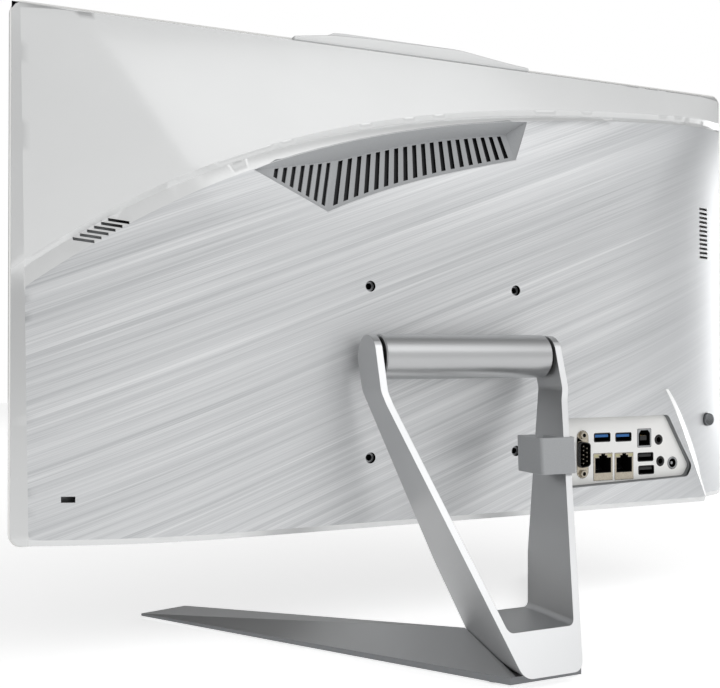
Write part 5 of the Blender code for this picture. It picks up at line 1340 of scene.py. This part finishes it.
class LookSettings(bpy.types.PropertyGroup):
    """Colours and texture scales of the finishes; colours are sRGB hex."""
    hairline_angle: FloatProperty(name="Hairline angle", description="How far the hairlines rise towards -X",
                                  default=math.radians(20.5), subtype="ANGLE")
    hairline_pitch: FloatProperty(name="Hairline pitch", description="Spacing of the finest hairlines",
                                  default=0.25 * MM, min=0.05 * MM, max=2 * MM, unit="LENGTH")
    hairline_dark: StringProperty(name="Hairline dark", description="Colour of the dark hairlines", default="b4b6b8")
    hairline_light: StringProperty(name="Hairline light", description="Colour of the pale hairlines", default="e4e5e6")
    # plain silver for the -X side, set a little darker as painted shade
    hairline_plain_and_shade: StringProperty(name="Plain silver", description="Colour where the hairlines have faded",
                                   default="c6c8ca")
    white_colour: StringProperty(name="White", description="Colour of the gloss white shell", default="f0f0ee")
    shell_colour: StringProperty(name="Upper shell", description="Colour of the shell above the groove",
                                 default="dfe0e0")
    band_colour: StringProperty(name="Band", description="Colour of the smooth silver band", default="dcdddd")
    # the darker grey of the recess walls and the vent: painted shade
    recess_colour: StringProperty(name="Recess", description="Colour of the vent recess", default="aeb0b2")
    stand_colour: StringProperty(name="Stand", description="Colour of the stand's aluminium", default="bcbdbe")


# ------------------------------------------------------------------ operators
class COMPUTER_OT_cover(bpy.types.Operator):
    """Build the rear cover with its groove, band, step, openings and slits."""
    bl_idname = "computer.cover"
    bl_label = "Rear cover"

    def execute(self, context):
        kit = finishes()
        place_piece(build_cover(kit, context.scene.computer_size), DISPLAY, "rear_cover", slot="brushed_white")
        return {"FINISHED"}


class COMPUTER_OT_vent(bpy.types.Operator):
    """Build the faceted vent recess with its fan of slots."""
    bl_idname = "computer.vent"
    bl_label = "Vent recess"

    def execute(self, context):
        kit = finishes()
        place_piece(vent_tray(kit, context.scene.computer_size), DISPLAY, slot="brushed_white")
        place_piece(dust_mesh(kit), DISPLAY, slot="black_plastic")
        return {"FINISHED"}


class COMPUTER_OT_front(bpy.types.Operator):
    """Build the bezel with its camera housing, the screen glass and the camera's lens."""
    bl_idname = "computer.front"
    bl_label = "Bezel and glass"

    def execute(self, context):
        kit = finishes()
        bezel, housing = build_bezel(kit, context.scene.computer_size)
        place_piece(bezel, DISPLAY, "front_bezel", slot="gloss_white")
        place_piece(housing, DISPLAY, slot="gloss_white")
        place_piece(build_glass(kit), DISPLAY, "front_glass", slot="black_glass")
        place_piece(build_lens(kit), DISPLAY, "camera_lens", slot="black_glass")
        return {"FINISHED"}


class COMPUTER_OT_sockets(bpy.types.Operator):
    """Build the socket plate and every socket in it."""
    bl_idname = "computer.sockets"
    bl_label = "Sockets"

    def execute(self, context):
        kit = finishes()
        place_piece(build_plate(kit, context.scene.computer_size), DISPLAY, "io_plate", slot="gloss_white")
        for word, spots, tongue in (("usb3", USB3_AT, kit["blue"]), ("usb2", USB2_AT, kit["black"])):
            for k, spot in enumerate(spots):
                name = "%s_port_%d" % (word, k + 1)
                body, tip = usb_port(kit, name + "_fine", spot, tongue)
                place_piece(body, DISPLAY, name, slot="nickel")
                place_piece(tip, DISPLAY, slot="nickel")
        for k, spot in enumerate(LAN_AT):
            name = "lan_port_%d" % (k + 1)
            body, contacts = lan_port(kit, name + "_fine", spot)
            place_piece(body, DISPLAY, name, slot="nickel")
            place_piece(contacts, DISPLAY, slot="nickel")
        body, post = square_port(kit)
        place_piece(body, DISPLAY, "usb_b_port", slot="black_plastic")
        place_piece(post, DISPLAY, slot="black_plastic")
        flange, pins, posts = serial_pieces(kit)
        place_piece(flange, DISPLAY, "serial_port", slot="nickel")
        place_piece(pins, DISPLAY, slot="nickel")
        place_piece(posts, DISPLAY, slot="nickel")
        for word, spot in zip(("headphone", "microphone"), JACKS_AT):
            ring = round_port(kit, word + "_ring", spot, JACK_R, 1.8 * MM, kit["black"], 0.0)
            place_piece(ring, DISPLAY, word + "_jack", slot="black_plastic")
        ring = round_port(kit, "power_ring", POWER_AT, POWER_R, 2.9 * MM, kit["zinc"], 1.0 * MM)
        place_piece(ring, DISPLAY, "dc_power_jack", slot="nickel")
        return {"FINISHED"}


class COMPUTER_OT_button(bpy.types.Operator):
    """Build the power button's cap."""
    bl_idname = "computer.button"
    bl_label = "Power button"

    def execute(self, context):
        place_piece(build_button(finishes()), "power_button", "power_button", slot="button_silver")
        return {"FINISHED"}


class COMPUTER_OT_hinge(bpy.types.Operator):
    """Build the hinge barrel, its bracket and the two friction washers."""
    bl_idname = "computer.hinge"
    bl_label = "Hinge"

    def execute(self, context):
        kit = finishes()
        place_piece(build_barrel(kit, context.scene.computer_size), DISPLAY, "hinge_barrel", slot="satin_silver")
        place_piece(build_saddle(kit), DISPLAY, "hinge_bracket", slot="steel")
        place_piece(build_washers(kit), STAND, "friction_washer_left", "friction_washer_right", slot="black_plastic")
        return {"FINISHED"}


class COMPUTER_OT_frame(bpy.types.Operator):
    """Build the loop-shaped stand frame."""
    bl_idname = "computer.frame"
    bl_label = "Stand frame"

    def execute(self, context):
        place_piece(build_frame(finishes(), context.scene.computer_size), STAND, "stand_frame", slot="satin_silver")
        return {"FINISHED"}


class COMPUTER_OT_base(bpy.types.Operator):
    """Build the base and its rubber feet."""
    bl_idname = "computer.base"
    bl_label = "Base and feet"

    def execute(self, context):
        kit = finishes()
        place_piece(build_base(kit, context.scene.computer_size), STAND, "base_plate", slot="satin_silver")
        for foot, node in build_feet(kit):
            place_piece(foot, STAND, node, slot="black_rubber")
        return {"FINISHED"}


class COMPUTER_OT_clip(bpy.types.Operator):
    """Build the cable clip."""
    bl_idname = "computer.clip"
    bl_label = "Cable clip"

    def execute(self, context):
        place_piece(build_clip(finishes(), context.scene.computer_size), "cable_clip", "cable_clip",
                    slot="satin_silver")
        return {"FINISHED"}


INNER = {"steel": "zinc", "nickel": "nickel", "copper": "copper", "fin_aluminium": "fins", "circuit_board": "board",
         "black_plastic": "black", "black_rubber": "rubber", "black_glass": "glass", "lcd_glass": "glass",
         "white_plastic": "lamp", "satin_silver": "stand", "brushed_white": "band", "gloss_white": "white",
         "button_silver": "button"}


class COMPUTER_OT_inner(bpy.types.Operator):
    """Give the pieces inside the display their own finishes."""
    bl_idname = "computer.inner"
    bl_label = "Inner finishes"

    def execute(self, context):
        kit = finishes()
        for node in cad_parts.values():
            for cell in node.material_slots:
                cell.material = kit[INNER[cell.material.name.split(".")[0]]]
        return {"FINISHED"}


class COMPUTER_OT_stage(bpy.types.Operator):
    """Set the camera, the floor and soft studio light."""
    bl_idname = "computer.stage"
    bl_label = "Stage"

    def execute(self, context):
        viewing_camera(context.scene.computer_size)
        build_floor()
        studio_world()
        for light in LIGHTS:
            soft_light(*light)
        context.scene.view_settings.view_transform = "Standard"
        return {"FINISHED"}


class COMPUTER_PT_panel(bpy.types.Panel):
    """Lists the pieces and their settings."""
    bl_idname = "COMPUTER_PT_panel"
    bl_label = "All-in-one computer"
    bl_space_type = "VIEW_3D"
    bl_region_type = "UI"
    bl_category = "Computer"

    def draw(self, context):
        layout = self.layout
        for kind in OPERATORS:
            layout.operator(kind.bl_idname)
        for settings in (context.scene.computer_size, context.scene.computer_look):
            box = layout.box()
            for key in settings.__annotations__:
                box.prop(settings, key)


OPERATORS = (COMPUTER_OT_inner, COMPUTER_OT_cover, COMPUTER_OT_vent, COMPUTER_OT_front, COMPUTER_OT_sockets,
             COMPUTER_OT_button, COMPUTER_OT_hinge, COMPUTER_OT_frame, COMPUTER_OT_base, COMPUTER_OT_clip,
             COMPUTER_OT_stage)
CLASSES = (SizeSettings, LookSettings, *OPERATORS, COMPUTER_PT_panel)


def register():
    """Add the settings, the operators and the panel."""
    for kind in CLASSES:
        bpy.utils.register_class(kind)
    bpy.types.Scene.computer_size = PointerProperty(type=SizeSettings)
    bpy.types.Scene.computer_look = PointerProperty(type=LookSettings)


def unregister():
    """Take them away again."""
    del bpy.types.Scene.computer_look
    del bpy.types.Scene.computer_size
    for kind in reversed(CLASSES):
        bpy.utils.unregister_class(kind)


def main():
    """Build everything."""
    register()
    bpy.ops.computer.inner()
    bpy.ops.computer.cover()
    bpy.ops.computer.vent()
    bpy.ops.computer.front()
    bpy.ops.computer.sockets()
    bpy.ops.computer.button()
    bpy.ops.computer.hinge()
    bpy.ops.computer.frame()
    bpy.ops.computer.base()
    bpy.ops.computer.clip()
    bpy.ops.computer.stage()


if __name__ == "__main__":
    main()
